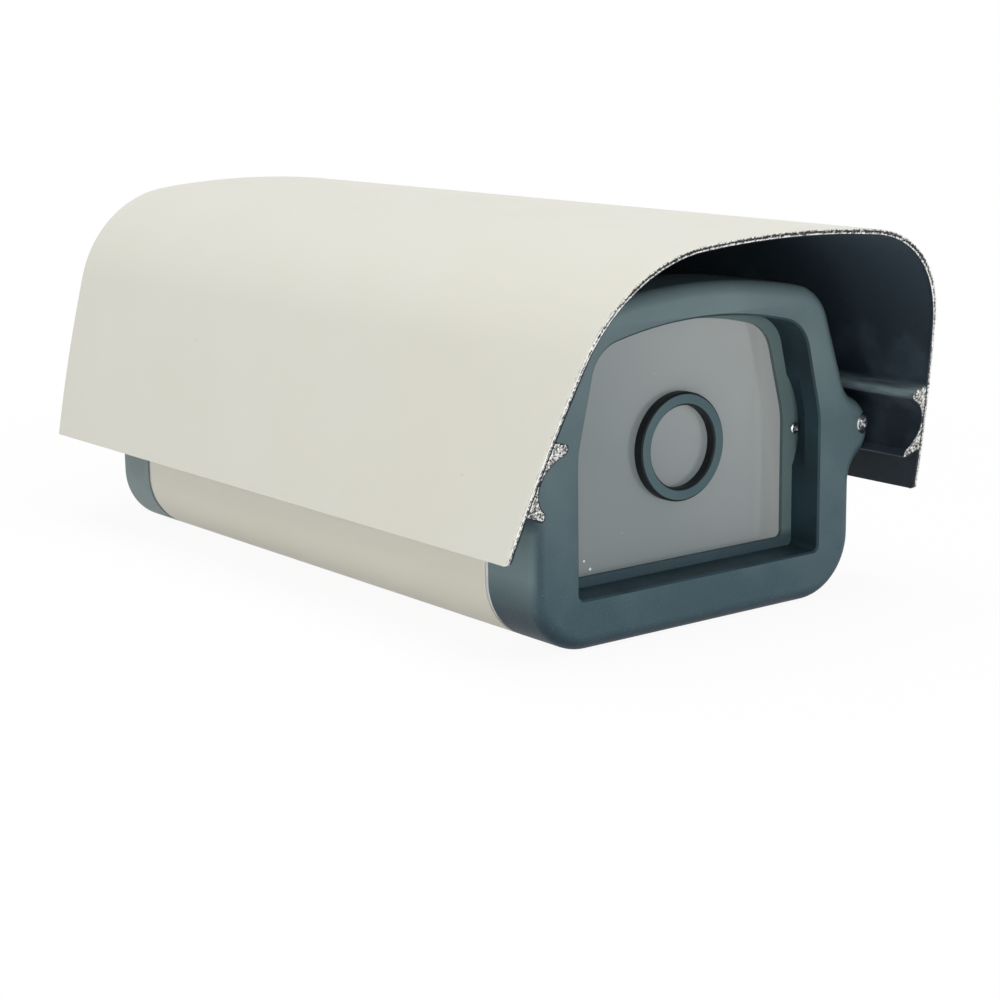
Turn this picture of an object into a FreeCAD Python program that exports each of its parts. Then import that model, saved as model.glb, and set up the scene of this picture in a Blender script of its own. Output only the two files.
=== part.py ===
import FreeCAD, Part
import math
import os
import Sketcher

# Security camera housing.
# X runs across the housing, Y from the window to the rear cap, Z up.
# The origin is the centre of the bracket holes on the underside of the body.

os.makedirs("parts", exist_ok=True)
doc = FreeCAD.newDocument("camera_housing")

# Driving dimensions in millimetres
DIMENSIONS = {
    # Outline that the body, the caps and the gaskets share
    "body_half_width": 54.8,
    "body_top": 89.1,
    "base_corner_radius": 17.0,
    "knee_level": 50.0,
    "knee_radius": 30.0,
    "shoulder_inset": 11.5,
    "shoulder_radius": 13.0,
    "crown_rise": 5.25,
    # Extruded body
    "body_length": 170.0,
    "body_wall": 2.2,
    "rail_standoff": 1.4,
    "rail_level": 47.0,
    "rail_radius": 7.8,
    "floor_rib_half_width": 22.0,
    "floor_rib_top": 7.0,
    "ledge_width": 9.6,
    "ledge_thickness": 3.2,
    "lip_width": 2.4,
    "lip_thickness": 1.8,
    "screw_port_wall": 2.0,
    # Bracket holes
    "bracket_spacing_across": 28.0,
    "bracket_spacing_along": 60.0,
    "bracket_hole_radius": 2.5,
    "bracket_hole_depth": 5.5,
    # Caps and gaskets
    "gasket_thickness": 1.6,
    "gasket_width": 2.6,
    "gasket_setback": 0.4,
    "front_cap_depth": 20.0,
    "rear_cap_depth": 17.2,
    "cap_wall": 2.8,
    "cap_edge_radius": 4.2,
    "rear_edge_chamfer": 2.4,
    "ear_inset": 2.4,
    "ear_drop": 2.2,
    "ear_radius": 9.4,
    "ear_hollow_radius": 8.0,
    # Screws in the ears
    "cap_screw_standoff": 4.0,
    "cap_screw_drop": 0.8,
    "cap_screw_radius": 1.5,
    "cap_screw_head_radius": 2.6,
    "cap_screw_head_height": 1.9,
    "cap_screw_grip": 8.0,
    "cap_screw_front_inset": 2.6,
    # Window
    "window_side_rim": 13.3,
    "window_top_rim": 8.6,
    "window_bottom": 13.5,
    "window_knee_rise": 0.2,
    "window_knee_radius": 24.0,
    "window_shoulder_inset": 6.1,
    "window_shoulder_radius": 10.5,
    "window_sill_radius": 1.6,
    "window_crown_rise": 5.1,
    "recess_depth": 10.2,
    "recess_wall": 4.5,
    "window_edge_chamfer": 0.5,
    "flange_side_width": 3.6,
    "flange_bottom_width": 2.6,
    "flange_top_width": 1.6,
    "flange_thickness": 1.1,
    "relief_rise": 2.2,
    "relief_radius": 26.0,
    "relief_depth": 4.7,
    "relief_level": 45.7,
    "glass_overlap": 2.0,
    "glass_thickness": 3.0,
    "seal_thickness": 1.0,
    "seal_width": 2.6,
    "frame_thickness": 1.6,
    "frame_width": 7.6,
    "glass_screw_standoff": 0.4,
    "glass_screw_radius": 1.0,
    "glass_screw_head_radius": 1.6,
    "glass_screw_head_height": 1.0,
    # Ring on the glass
    "ring_across": 0.4,
    "ring_level": 45.9,
    "ring_outer_radius": 14.35,
    "ring_inner_radius": 10.9,
    "ring_height": 2.9,
    "ring_edge": 0.5,
    # Sunshield
    "shield_length": 231.4,
    "shield_overhang": 9.2,
    "shield_wall": 1.4,
    "shield_side_gap": 6.0,
    "shield_air_gap": 13.9,
    "shield_skirt": 18.8,
    "shield_side_slope": 0.2782,
    "shield_side_bow": 0.61,
    "shield_shoulder_radius": 35.2,
    "shield_shoulder_inset": 45.04,
    "shield_crown_radius": 275.0,
    "shield_rake": 23.9,
    "shield_tip_radius": 1.2,
    # Hooked lips that hold the rails of the body
    "hook_thickness": 2.0,
    "hook_upper_share": 0.92,
    "hook_lower_share": 0.79,
    "hook_upper_reach": 2.2,
    "hook_lower_reach": 5.8,
    "hook_foot_drop": 7.4,
    "hook_toe_height": 0.7,
    # Camera tray and seat
    "tray_length": 152.0,
    "tray_thickness": 1.5,
    "tray_level": 17.8,
    "tray_slot_length": 96.0,
    "tray_screw_spacing": 130.0,
    "tray_screw_inset": 5.6,
    "tray_notch_width": 30.0,
    "tray_notch_depth": 8.0,
    "seat_width": 36.0,
    "seat_length": 40.0,
    "seat_height": 9.0,
    "seat_groove_width": 10.0,
    "pad_thickness": 2.0,
    "camera_screw_radius": 3.175,
    "camera_screw_relief": 0.3,
    "camera_screw_reach": 6.0,
    "thumb_head_radius": 9.0,
    "thumb_head_height": 5.6,
    "thumb_head_edge": 1.0,
    "thread_edge": 0.8,
    # Cable glands
    "gland_across": 20.0,
    "gland_level": 24.0,
    "gland_thread_radius": 7.6,
    "gland_flats": 19.0,
    "gland_flange_thickness": 5.0,
    "gland_stub_length": 7.0,
    "gland_stub_radius": 6.8,
    "gland_bore_radius": 4.4,
    "gland_seat_radius": 5.6,
    "cable_radius": 3.4,
    "nut_body_length": 8.0,
    "nut_dome_length": 5.0,
    "nut_mouth_radius": 4.2,
    "nut_mouth_wall": 1.5,
    "nut_dome_step": 1.3,
    "nut_gap": 0.4,
    "washer_thickness": 1.5,
    "washer_radius": 9.4,
    "locknut_thickness": 4.5,
    # Clearances
    "slide_clearance": 0.3,
    "sheet_clearance": 0.4,
    "screw_clearance": 0.2,
    "thread_clearance": 0.05,
}

sheet = doc.addObject("Spreadsheet::Sheet", "Sizes")
for row, (alias, number) in enumerate(DIMENSIONS.items(), start=1):
    sheet.set(f"A{row}", alias)
    sheet.set(f"B{row}", str(number))
    sheet.setAlias(f"B{row}", alias)
doc.recompute()


class Size:
    """A length: its number, and the formula that reads it from the sheet."""

    def __init__(self, number, formula):
        self.number = number
        self.formula = formula

    def __add__(self, other):
        other = as_size(other)
        return Size(self.number + other.number, f"({self.formula} + {other.formula})")

    def __sub__(self, other):
        other = as_size(other)
        return Size(self.number - other.number, f"({self.formula} - {other.formula})")

    def __mul__(self, other):
        other = as_size(other)
        return Size(self.number * other.number, f"({self.formula} * {other.formula})")

    def __truediv__(self, other):
        other = as_size(other)
        return Size(self.number / other.number, f"({self.formula} / {other.formula})")

    def __rsub__(self, other):
        return as_size(other) - self

    def __rtruediv__(self, other):
        return as_size(other) / self

    def __neg__(self):
        return Size(-self.number, f"(0 - {self.formula})")

    __radd__ = __add__
    __rmul__ = __mul__


def as_size(value):
    if isinstance(value, Size):
        return value
    return Size(float(value), f"({float(value):.9f})")


def root(size):
    return Size(math.sqrt(size.number), f"sqrt({size.formula})")


class Table:
    """The sheet's sizes as attributes, such as table.body_length."""

    def __init__(self, numbers):
        for alias, number in numbers.items():
            setattr(self, alias, Size(number, f"Sizes.{alias}"))


d = Table(DIMENSIONS)

# Places across, from the middle plane
rail_across = d.body_half_width + d.rail_standoff
ear_across = d.body_half_width - d.ear_inset
cap_screw_across = d.body_half_width + d.cap_screw_standoff
window_half_width = d.body_half_width - d.window_side_rim
glass_screw_across = window_half_width + d.glass_screw_standoff
shield_half_width = rail_across + d.rail_radius + d.shield_side_gap

# Levels above the underside
shoulder_level = d.body_top - d.crown_rise
ear_level = d.rail_level - d.ear_drop
cap_screw_level = d.rail_level - d.cap_screw_drop
window_top = d.body_top - d.window_top_rim
shield_bottom = d.rail_level - d.shield_skirt
shield_top = d.body_top + d.shield_air_gap + d.shield_wall

# Stations along Y
body_front = -d.body_length / 2
body_rear = d.body_length / 2
front_cap_rear = body_front - d.gasket_thickness
front_cap_front = front_cap_rear - d.front_cap_depth
rear_cap_front = body_rear + d.gasket_thickness
rear_cap_rear = rear_cap_front + d.rear_cap_depth
flange_front = front_cap_front + d.recess_depth
glass_front = flange_front + d.flange_thickness
glass_rear = glass_front + d.glass_thickness
frame_front = glass_rear + d.seal_thickness
shield_tip = front_cap_front - d.shield_overhang
shield_rear = shield_tip + d.shield_length
shield_front = shield_tip - d.shield_rake
rear_wall_inside = rear_cap_rear - d.cap_wall

RIGHT = 1
LEFT = -1
SIDES = {"left": LEFT, "right": RIGHT}
PASS_BY = 1.0

# Shares of a pan head's own size
HEAD_TOP_RADIUS = 0.75
HEAD_RIM_HEIGHT = 0.45

# Share of a wall that an ear is rooted in
ROOT_SHARE = 0.9

# Share of a gasket's width that its lobe reaches over
LOBE_SHARE = 0.25


# Helpers for bodies, sketches and features

def bind(thing, path, size):
    thing.setExpression(path, as_size(size).formula)


def origin_plane(body, role):
    return next(item for item in body.Origin.OriginFeatures if item.Role == role)


def new_body(label):
    body = doc.addObject("PartDesign::Body", label)
    body.Label = label
    return body


def new_sketch(body, name, role="XZ_Plane", station=0.0):
    """A sketch on one of the body's own planes, moved along Y, Z or X to its station."""
    sketch = body.newObject("Sketcher::SketchObject", name)
    sketch.AttachmentSupport = [(origin_plane(body, role), "")]
    sketch.MapMode = "FlatFace"
    offset = -as_size(station) if role == "XZ_Plane" else as_size(station)
    bind(sketch, "AttachmentOffset.Base.z", offset)
    return sketch


def set_distance(sketch, kind, geometry, point, size):
    """Holds one coordinate of a sketch point at a size measured from the origin."""
    size = as_size(size)
    if abs(size.number) < 1e-9:
        axis = -2 if kind == "DistanceX" else -1
        sketch.addConstraint(Sketcher.Constraint("PointOnObject", geometry, point, axis))
        return
    constraint = Sketcher.Constraint(kind, -1, 1, geometry, point, size.number)
    index = sketch.addConstraint(constraint)
    bind(sketch, f"Constraints[{index}]", size)


def hold_centre(sketch, geometry, corner, after, rise):
    """Holds the centre of an arc, so that it rises over its chord by the given size."""
    across = as_size(after[0]) - corner[0]
    along = as_size(after[1]) - corner[1]
    chord = root(across * across + along * along)
    to_centre = rise - (chord * chord / 4 + rise * rise) / (rise * 2)
    if abs(across.number) > abs(along.number):
        middle = (as_size(after[1]) + corner[1]) / 2
        set_distance(sketch, "DistanceY", geometry, 3, middle + across / chord * to_centre)
    else:
        middle = (as_size(after[0]) + corner[0]) / 2
        set_distance(sketch, "DistanceX", geometry, 3, middle - along / chord * to_centre)


def draw_loop(sketch, corners):
    """Draws a closed loop. A third value in a corner is the rise of the arc that leaves it,
    positive to the left of the way to the next corner."""
    count = len(corners)
    points = [FreeCAD.Vector(as_size(c[0]).number, as_size(c[1]).number, 0) for c in corners]
    ends = []
    for index, corner in enumerate(corners):
        here = points[index]
        there = points[(index + 1) % count]
        if len(corner) == 2:
            geometry = sketch.addGeometry(Part.LineSegment(here, there), False)
            ends.append((geometry, 1, 2))
            continue
        rise = as_size(corner[2])
        chord = there - here
        normal = FreeCAD.Vector(-chord.y, chord.x, 0).normalize()
        crest = (here + there) * 0.5 + normal * rise.number
        geometry = sketch.addGeometry(Part.Arc(here, crest, there), False)
        starts_here = sketch.getPoint(geometry, 1).distanceToPoint(here) < 1e-6
        ends.append((geometry, 1, 2) if starts_here else (geometry, 2, 1))
        hold_centre(sketch, geometry, corner, corners[(index + 1) % count], rise)
    for index, (geometry, start, end) in enumerate(ends):
        after, after_start, _ = ends[(index + 1) % count]
        sketch.addConstraint(Sketcher.Constraint("Coincident", geometry, end, after, after_start))
        set_distance(sketch, "DistanceX", geometry, start, corners[index][0])
        set_distance(sketch, "DistanceY", geometry, start, corners[index][1])


def draw_circle(sketch, across, along, radius):
    centre = FreeCAD.Vector(as_size(across).number, as_size(along).number, 0)
    circle = Part.Circle(centre, FreeCAD.Vector(0, 0, 1), as_size(radius).number)
    geometry = sketch.addGeometry(circle, False)
    set_distance(sketch, "DistanceX", geometry, 3, across)
    set_distance(sketch, "DistanceY", geometry, 3, along)
    index = sketch.addConstraint(
        Sketcher.Constraint("Radius", geometry, as_size(radius).number))
    bind(sketch, f"Constraints[{index}]", radius)


def box_corners(low_across, high_across, low_along, high_along):
    return [(low_across, low_along), (high_across, low_along),
            (high_across, high_along), (low_across, high_along)]


def finish_feature(body, feature, grows):
    """Recomputes a feature and makes sure that it really added or removed material."""
    before = body.Shape.Volume if body.Shape and not body.Shape.isNull() else 0.0
    body.Tip = feature
    doc.recompute()
    change = body.Shape.Volume - before
    if grows and change <= 0 or not grows and change >= 0:
        raise RuntimeError(f"{body.Label}: {feature.Name} changed nothing")
    return feature


def pad(body, name, sketch, length, towards_rear=True):
    """Pads an XZ sketch towards +Y, or an XY sketch towards +Z with towards_rear False."""
    feature = body.newObject("PartDesign::Pad", name)
    feature.Profile = sketch
    bind(feature, "Length", length)
    feature.Reversed = towards_rear
    return finish_feature(body, feature, True)


def pocket(body, name, sketch, length, reverse=False):
    """Cuts from an XZ sketch towards +Y, or from an XY sketch towards -Z."""
    feature = body.newObject("PartDesign::Pocket", name)
    feature.Profile = sketch
    bind(feature, "Length", length)
    feature.Reversed = reverse
    return finish_feature(body, feature, False)


def mirror(body, name, features, grows):
    feature = body.newObject("PartDesign::Mirrored", name)
    feature.Originals = features
    feature.MirrorPlane = (origin_plane(body, "YZ_Plane"), [""])
    return finish_feature(body, feature, grows)


def edge_names(body, wanted):
    edges = body.Tip.Shape.Edges
    return [f"Edge{number}" for number, edge in enumerate(edges, start=1) if wanted(edge)]


def round_edges(body, name, radius, wanted):
    """Rounds every edge of the body that the test picks out."""
    names = edge_names(body, wanted)
    if not names:
        raise RuntimeError(f"{body.Label}: no edge found for {name}")
    base = body.Tip
    feature = body.newObject("PartDesign::Fillet", name)
    feature.Base = (base, names)
    bind(feature, "Radius", radius)
    body.Tip = feature
    doc.recompute()
    return feature


def bevel_edges(body, name, size, wanted):
    """Chamfers every edge of the body that the test picks out."""
    names = edge_names(body, wanted)
    if not names:
        raise RuntimeError(f"{body.Label}: no edge found for {name}")
    base = body.Tip
    feature = body.newObject("PartDesign::Chamfer", name)
    feature.Base = (base, names)
    bind(feature, "Size", size)
    return finish_feature(body, feature, False)


def runs_along_y_at(across, level, reach=0.2):
    """Test for the two edges along Y that stand at plus and minus a place across."""
    def wanted(edge):
        box = edge.BoundBox
        if box.YLength < 0.5 or box.XLength > 0.01 or box.ZLength > 0.01:
            return False
        near_side = abs(abs(box.XMin) - as_size(across).number) < reach
        return near_side and abs(box.ZMin - as_size(level).number) < reach
    return wanted


def lies_in_plane_y(station, reach=0.01):
    def wanted(edge):
        box = edge.BoundBox
        return abs(box.YMin - as_size(station).number) < reach and box.YLength < reach
    return wanted


def turn(body, name, profile, role="XY_Plane"):
    """Turns a profile of (radius, station) corners about Y, or about Z with XZ_Plane."""
    sketch = new_sketch(body, f"{name}_profile", role)
    draw_loop(sketch, profile)
    feature = body.newObject("PartDesign::Revolution", name)
    feature.Profile = sketch
    feature.ReferenceAxis = (sketch, ["V_Axis"])
    feature.Angle = 360
    return finish_feature(body, feature, True)


def place(thing, across, along, level):
    bind(thing, "Placement.Base.x", across)
    bind(thing, "Placement.Base.y", along)
    bind(thing, "Placement.Base.z", level)


def group(label, members):
    """Puts equal pieces under one name, as separate solids."""
    bundle = doc.addObject("Part::Compound", label)
    bundle.Label = label
    bundle.Links = members
    return bundle


def mirrored_copy(thing, name):
    copy = doc.addObject("Part::Mirroring", name)
    copy.Source = thing
    copy.Normal = FreeCAD.Vector(1, 0, 0)
    return copy


# Outlines that several pieces share

def housing_outline(inset):
    """D-shaped section of the housing, moved inwards by an inset, with sharp corners."""
    half = d.body_half_width - inset
    shoulder = d.body_half_width - d.shoulder_inset
    lean = d.shoulder_inset / (shoulder_level - d.knee_level)
    lean_length = root(lean * lean + 1)
    crown_tangent = d.crown_rise / shoulder
    fall = 2 * crown_tangent / (1 - crown_tangent * crown_tangent)
    fall_length = root(fall * fall + 1)
    drop = inset * (fall_length - fall * lean_length) / (1 - fall * lean)
    across = (shoulder + lean * drop) - lean_length * inset
    knee_level = d.knee_level - inset * (lean_length - 1) / lean
    rise = d.crown_rise - inset + drop
    return [(-half, as_size(inset)), (half, as_size(inset)), (half, knee_level),
            (across, shoulder_level - drop, -rise), (-across, shoulder_level - drop),
            (-half, knee_level)]


def housing_rounds(inset):
    """Places and radii of the corners of the D-shaped section at an inset."""
    corners = housing_outline(inset)
    base_radius = d.base_corner_radius - inset
    shoulder_radius = d.shoulder_radius - inset
    return [("base", corners[1][0], corners[1][1], base_radius),
            ("knee", corners[2][0], corners[2][1], d.knee_radius),
            ("shoulder", corners[3][0], corners[3][1], shoulder_radius)]


def window_outline(side_inset, bottom_inset, top_inset):
    """Window section, moved inwards at its sides, its bottom and its top."""
    half = window_half_width - side_inset
    shoulder = half - d.window_shoulder_inset
    level = window_top - d.window_crown_rise - top_inset
    bottom = d.window_bottom + bottom_inset
    knee_level = d.knee_level + d.window_knee_rise
    return [(-half, bottom), (half, bottom), (half, knee_level),
            (shoulder, level, -d.window_crown_rise), (-shoulder, level),
            (-half, knee_level)]


def inside_flange(extra):
    """Insets of an outline that lies further in than the flange's own edge by an extra."""
    return (d.flange_side_width + extra, d.flange_bottom_width + extra,
            d.flange_top_width + extra)


def housing_block(body, name, inset, station, length, grows=True):
    """Pads or cuts the sharp D-shaped section from a station towards +Y."""
    sketch = new_sketch(body, f"{name}_section", station=station)
    draw_loop(sketch, housing_outline(inset))
    if grows:
        return pad(body, name, sketch, length)
    return pocket(body, name, sketch, length)


def round_housing(body, name, inset):
    """Rounds the corners of a D-shaped block or hollow that stands at an inset."""
    for corner, across, level, radius in housing_rounds(inset):
        round_edges(body, f"{name}_{corner}_round", radius, runs_along_y_at(across, level))


def window_block(body, name, insets, station, length, grows):
    """Pads or cuts the window section from a station towards +Y and rounds its corners."""
    sketch = new_sketch(body, f"{name}_section", station=station)
    corners = window_outline(*insets)
    draw_loop(sketch, corners)
    if grows:
        pad(body, name, sketch, length)
    else:
        pocket(body, name, sketch, length)
    for title, corner, radius in (("sill", corners[1], d.window_sill_radius),
                                  ("knee", corners[2], d.window_knee_radius),
                                  ("shoulder", corners[3], d.window_shoulder_radius)):
        place_of_edge = runs_along_y_at(corner[0], corner[1])
        round_edges(body, f"{name}_{title}_round", radius, place_of_edge)


def round_hole(body, name, across, level, radius, station, length):
    sketch = new_sketch(body, f"{name}_circle", station=station)
    draw_circle(sketch, across, level, radius)
    return pocket(body, name, sketch, length)


# Sunshield

def rise_of_arc(radius, start, end):
    """Rise over its chord of an arc of the given radius."""
    across = as_size(end[0]) - start[0]
    along = as_size(end[1]) - start[1]
    return radius - root(radius * radius - (across * across + along * along) / 4)


def left_of(point):
    return (-point[0], point[1])


def shield_corners(inset):
    """Bottom corner, end of the side and end of the crown, for the right side at an inset."""
    slope_length = root(d.shield_side_slope * d.shield_side_slope + 1)
    centre_across = shield_half_width - d.shield_shoulder_inset
    to_shoulder = d.shield_crown_radius - d.shield_shoulder_radius
    centre_rise = root(to_shoulder * to_shoulder - centre_across * centre_across)
    centre_level = shield_top - d.shield_crown_radius + centre_rise
    radius = d.shield_shoulder_radius - inset
    side_end = (centre_across + radius / slope_length,
                centre_level + radius * d.shield_side_slope / slope_length)
    crown_end = (centre_across + radius * centre_across / to_shoulder,
                 centre_level + radius * centre_rise / to_shoulder)
    bottom = (shield_half_width - slope_length * inset, shield_bottom)
    return bottom, side_end, crown_end


def shield_wall_middle(level):
    """Distance from the middle plane to the middle of the shield's side wall at a level."""
    bottom, side_end, _ = shield_corners(d.shield_wall / 2)
    share = (as_size(level) - bottom[1]) / (side_end[1] - bottom[1])
    return (bottom[0] - (bottom[0] - side_end[0]) * share
            + 4 * d.shield_side_bow * share * (1 - share))


def make_sunshield():
    """Bent wall with two hooked lips a side, cut off on a rake at the front."""
    body = new_body("sunshield")
    length = shield_rear - shield_front
    bow = d.shield_side_bow
    bottom, side_end, crown_end = shield_corners(0.0)
    in_bottom, in_side, in_crown = shield_corners(d.shield_wall)
    shoulder = rise_of_arc(d.shield_shoulder_radius, side_end, crown_end)
    in_shoulder = rise_of_arc(d.shield_shoulder_radius - d.shield_wall, in_side, in_crown)
    crown = rise_of_arc(d.shield_crown_radius, crown_end, left_of(crown_end))
    in_crown_rise = rise_of_arc(d.shield_crown_radius - d.shield_wall, in_crown,
                                left_of(in_crown))
    section = new_sketch(body, "shield_section", station=shield_front)
    draw_loop(section, [
        in_bottom, (*bottom, -bow), (*side_end, -shoulder), (*crown_end, -crown),
        (*left_of(crown_end), -shoulder), (*left_of(side_end), -bow), left_of(bottom),
        (*left_of(in_bottom), bow), (*left_of(in_side), in_shoulder),
        (*left_of(in_crown), in_crown_rise), (*in_crown, in_shoulder), (*in_side, bow)])
    pad(body, "shield_wall", section, length)

    channel = d.rail_radius + d.slide_clearance
    centre = rail_across
    upper_height = channel * d.hook_upper_share
    upper_start = centre + root(channel * channel - upper_height * upper_height)
    lower_drop = channel * d.hook_lower_share
    lower_end = centre + root(channel * channel - lower_drop * lower_drop)
    half_chord_across = (lower_end - upper_start) / 2
    half_chord_along = (upper_height + lower_drop) / 2
    half_chord = root(half_chord_across * half_chord_across
                      + half_chord_along * half_chord_along)
    channel_rise = channel - root(channel * channel - half_chord * half_chord)
    tip_top = d.rail_level + channel + d.hook_thickness
    tip_side = tip_top - d.hook_thickness * 2 / 3
    root_top = tip_top + d.hook_thickness * 2 / 3
    foot_level = d.rail_level - d.hook_foot_drop
    hook = new_sketch(body, "hook_section", station=shield_front)
    draw_loop(hook, [
        (shield_wall_middle(root_top), root_top),
        (centre + d.hook_upper_reach, tip_top),
        (centre + d.hook_upper_reach - d.hook_thickness / 5, tip_side),
        (upper_start, d.rail_level + upper_height, channel_rise),
        (lower_end, d.rail_level - lower_drop),
        (lower_end, foot_level),
        (centre + d.hook_lower_reach, foot_level - d.hook_toe_height),
        (shield_wall_middle(foot_level), foot_level),
        (shield_wall_middle(d.rail_level), d.rail_level)])
    hooks = pad(body, "hooks", hook, length)
    mirror(body, "hooks_mirrored", [hooks], True)

    side = new_sketch(body, "rake_side", "YZ_Plane", shield_half_width + PASS_BY)
    slope = d.shield_rake / (shield_top - shield_bottom)
    before = shield_front - PASS_BY
    draw_loop(side, [
        (before, shield_bottom - PASS_BY),
        (shield_tip + slope * PASS_BY, shield_bottom - PASS_BY),
        (shield_front - slope * PASS_BY, shield_top + PASS_BY),
        (before - slope * PASS_BY, shield_top + PASS_BY)])
    pocket(body, "rake_cut", side, (shield_half_width + PASS_BY) * 2)

    def tip_edge(edge):
        box = edge.BoundBox
        at_front = abs(box.YMin - shield_tip.number) < 0.05 and box.YLength < 0.05
        return at_front and abs(box.ZMin - shield_bottom.number) < 0.05

    round_edges(body, "shield_tip_round", d.shield_tip_radius, tip_edge)
    return body


# Extruded body

def make_body_tube():
    """Hollow extrusion with a side rail, two tray ledges a side and a thick floor rib."""
    body = new_body("body_tube")
    housing_block(body, "tube_block", 0.0, body_front, d.body_length)
    housing_block(body, "tube_bore", d.body_wall, body_front, d.body_length, grows=False)
    round_housing(body, "tube_bore", d.body_wall)
    round_housing(body, "tube_block", 0.0)

    rails = new_sketch(body, "rail_section", station=body_front)
    draw_loop(rails, bulge(rail_across, d.rail_level, d.rail_radius,
                           d.body_half_width - d.body_wall / 2))
    rail = pad(body, "rail", rails, d.body_length)
    mirror(body, "rail_mirrored", [rail], True)
    hollow = d.rail_radius - d.body_wall
    bore = round_hole(body, "rail_bore", rail_across, d.rail_level, hollow,
                      body_front, d.body_length)
    mirror(body, "rail_bore_mirrored", [bore], False)

    inside = d.body_half_width - d.body_wall
    into_wall = inside + d.body_wall / 2
    ribs = []
    ledge = new_sketch(body, "ledge_section", station=body_front)
    draw_loop(ledge, box_corners(inside - d.ledge_width, into_wall,
                                 d.tray_level - d.ledge_thickness, d.tray_level))
    ribs.append(pad(body, "ledge", ledge, d.body_length))
    lip_bottom = d.tray_level + d.tray_thickness + d.sheet_clearance
    lip = new_sketch(body, "lip_section", station=body_front)
    draw_loop(lip, box_corners(inside - d.lip_width, into_wall,
                               lip_bottom, lip_bottom + d.lip_thickness))
    ribs.append(pad(body, "lip", lip, d.body_length))
    port_radius = d.cap_screw_radius + d.thread_clearance
    port = new_sketch(body, "screw_port_section", station=body_front)
    draw_circle(port, cap_screw_across, cap_screw_level, port_radius + d.screw_port_wall)
    ribs.append(pad(body, "screw_port", port, d.body_length))
    mirror(body, "ribs_mirrored", ribs, True)
    hole = round_hole(body, "screw_port_bore", cap_screw_across, cap_screw_level,
                      port_radius, body_front, d.body_length)
    mirror(body, "screw_port_bore_mirrored", [hole], False)

    rib = new_sketch(body, "floor_rib_section", station=body_front)
    draw_loop(rib, box_corners(-d.floor_rib_half_width, d.floor_rib_half_width,
                               d.body_wall / 2, d.floor_rib_top))
    pad(body, "floor_rib", rib, d.body_length)

    bracket = new_sketch(body, "bracket_circles", "XY_Plane", 0.0)
    for across in (LEFT, RIGHT):
        for along in (LEFT, RIGHT):
            draw_circle(bracket, d.bracket_spacing_across / 2 * across,
                        d.bracket_spacing_along / 2 * along, d.bracket_hole_radius)
    pocket(body, "bracket_holes", bracket, d.bracket_hole_depth, reverse=True)

    ledge_holes = new_sketch(body, "tray_screw_circles", "XY_Plane", d.tray_level)
    across = inside - d.tray_screw_inset
    for side in (LEFT, RIGHT):
        for end in (LEFT, RIGHT):
            draw_circle(ledge_holes, across * side, d.tray_screw_spacing / 2 * end,
                        port_radius)
    pocket(body, "tray_screw_holes", ledge_holes, d.ledge_thickness)
    return body


# Caps and gaskets

def bulge(centre_across, level, radius, root_across):
    """Part of a circle that stands out past a line from bottom to top at root_across."""
    depth = as_size(centre_across) - root_across
    half = root(radius * radius - depth * depth)
    return [(root_across, level - half, -(radius + depth)), (root_across, level + half)]


def ear_outline():
    """Round ear on the right that flows through a hollow into the side below and above it."""
    ear = d.ear_radius
    hollow = d.ear_hollow_radius
    side = d.body_half_width
    reach = ear + hollow
    share = ear / reach

    # The hollow below stands off the upright side
    low_off = side + hollow - ear_across
    drop = root(reach * reach - low_off * low_off)
    low_start = (side, ear_level - drop)
    low_end = (ear_across + low_off * share, ear_level - drop * share)

    # The hollow above stands off the side where it leans in
    lean = d.shoulder_inset / (shoulder_level - d.knee_level)
    lean_length = root(lean * lean + 1)
    across = side - ear_across
    above = d.knee_level - ear_level
    along_side = (above - across * lean) / lean_length
    off_side = (across + above * lean) / lean_length
    rest = (reach * reach - across * across - above * above - hollow * hollow
            - off_side * hollow * 2)
    run = root(along_side * along_side + rest) - along_side
    high_end = (side - run * lean / lean_length, d.knee_level + run / lean_length)
    high_across = high_end[0] + hollow / lean_length - ear_across
    high_rise = high_end[1] + hollow * lean / lean_length - ear_level
    high_start = (ear_across + high_across * share, ear_level + high_rise * share)

    in_wall = d.cap_wall * ROOT_SHARE
    return [(side - in_wall, low_start[1]),
            (*low_start, rise_of_arc(hollow, low_start, low_end)),
            (*low_end, -rise_of_arc(ear, low_end, high_start)),
            (*high_start, rise_of_arc(hollow, high_start, high_end)),
            high_end, (high_end[0] - in_wall, high_end[1]),
            (side - in_wall, d.knee_level)]


def add_ears(body, start, length):
    section = new_sketch(body, "ear_section", station=start)
    draw_loop(section, ear_outline())
    ear = pad(body, "ear", section, length)
    mirror(body, "ear_mirrored", [ear], True)


def cut_ear_screws(body, cap_front, cap_rear, faces_front):
    """Clearance hole and flat seat for the screw in each ear."""
    length = cap_rear - cap_front
    hole = round_hole(body, "ear_hole", cap_screw_across, cap_screw_level,
                      d.cap_screw_radius + d.screw_clearance, cap_front, length)
    seat_start = cap_front if faces_front else cap_rear - d.cap_screw_front_inset
    seat = round_hole(body, "ear_seat", cap_screw_across, cap_screw_level,
                      d.cap_screw_head_radius + d.slide_clearance, seat_start,
                      d.cap_screw_front_inset)
    mirror(body, "ear_holes_mirrored", [hole, seat], False)


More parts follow.
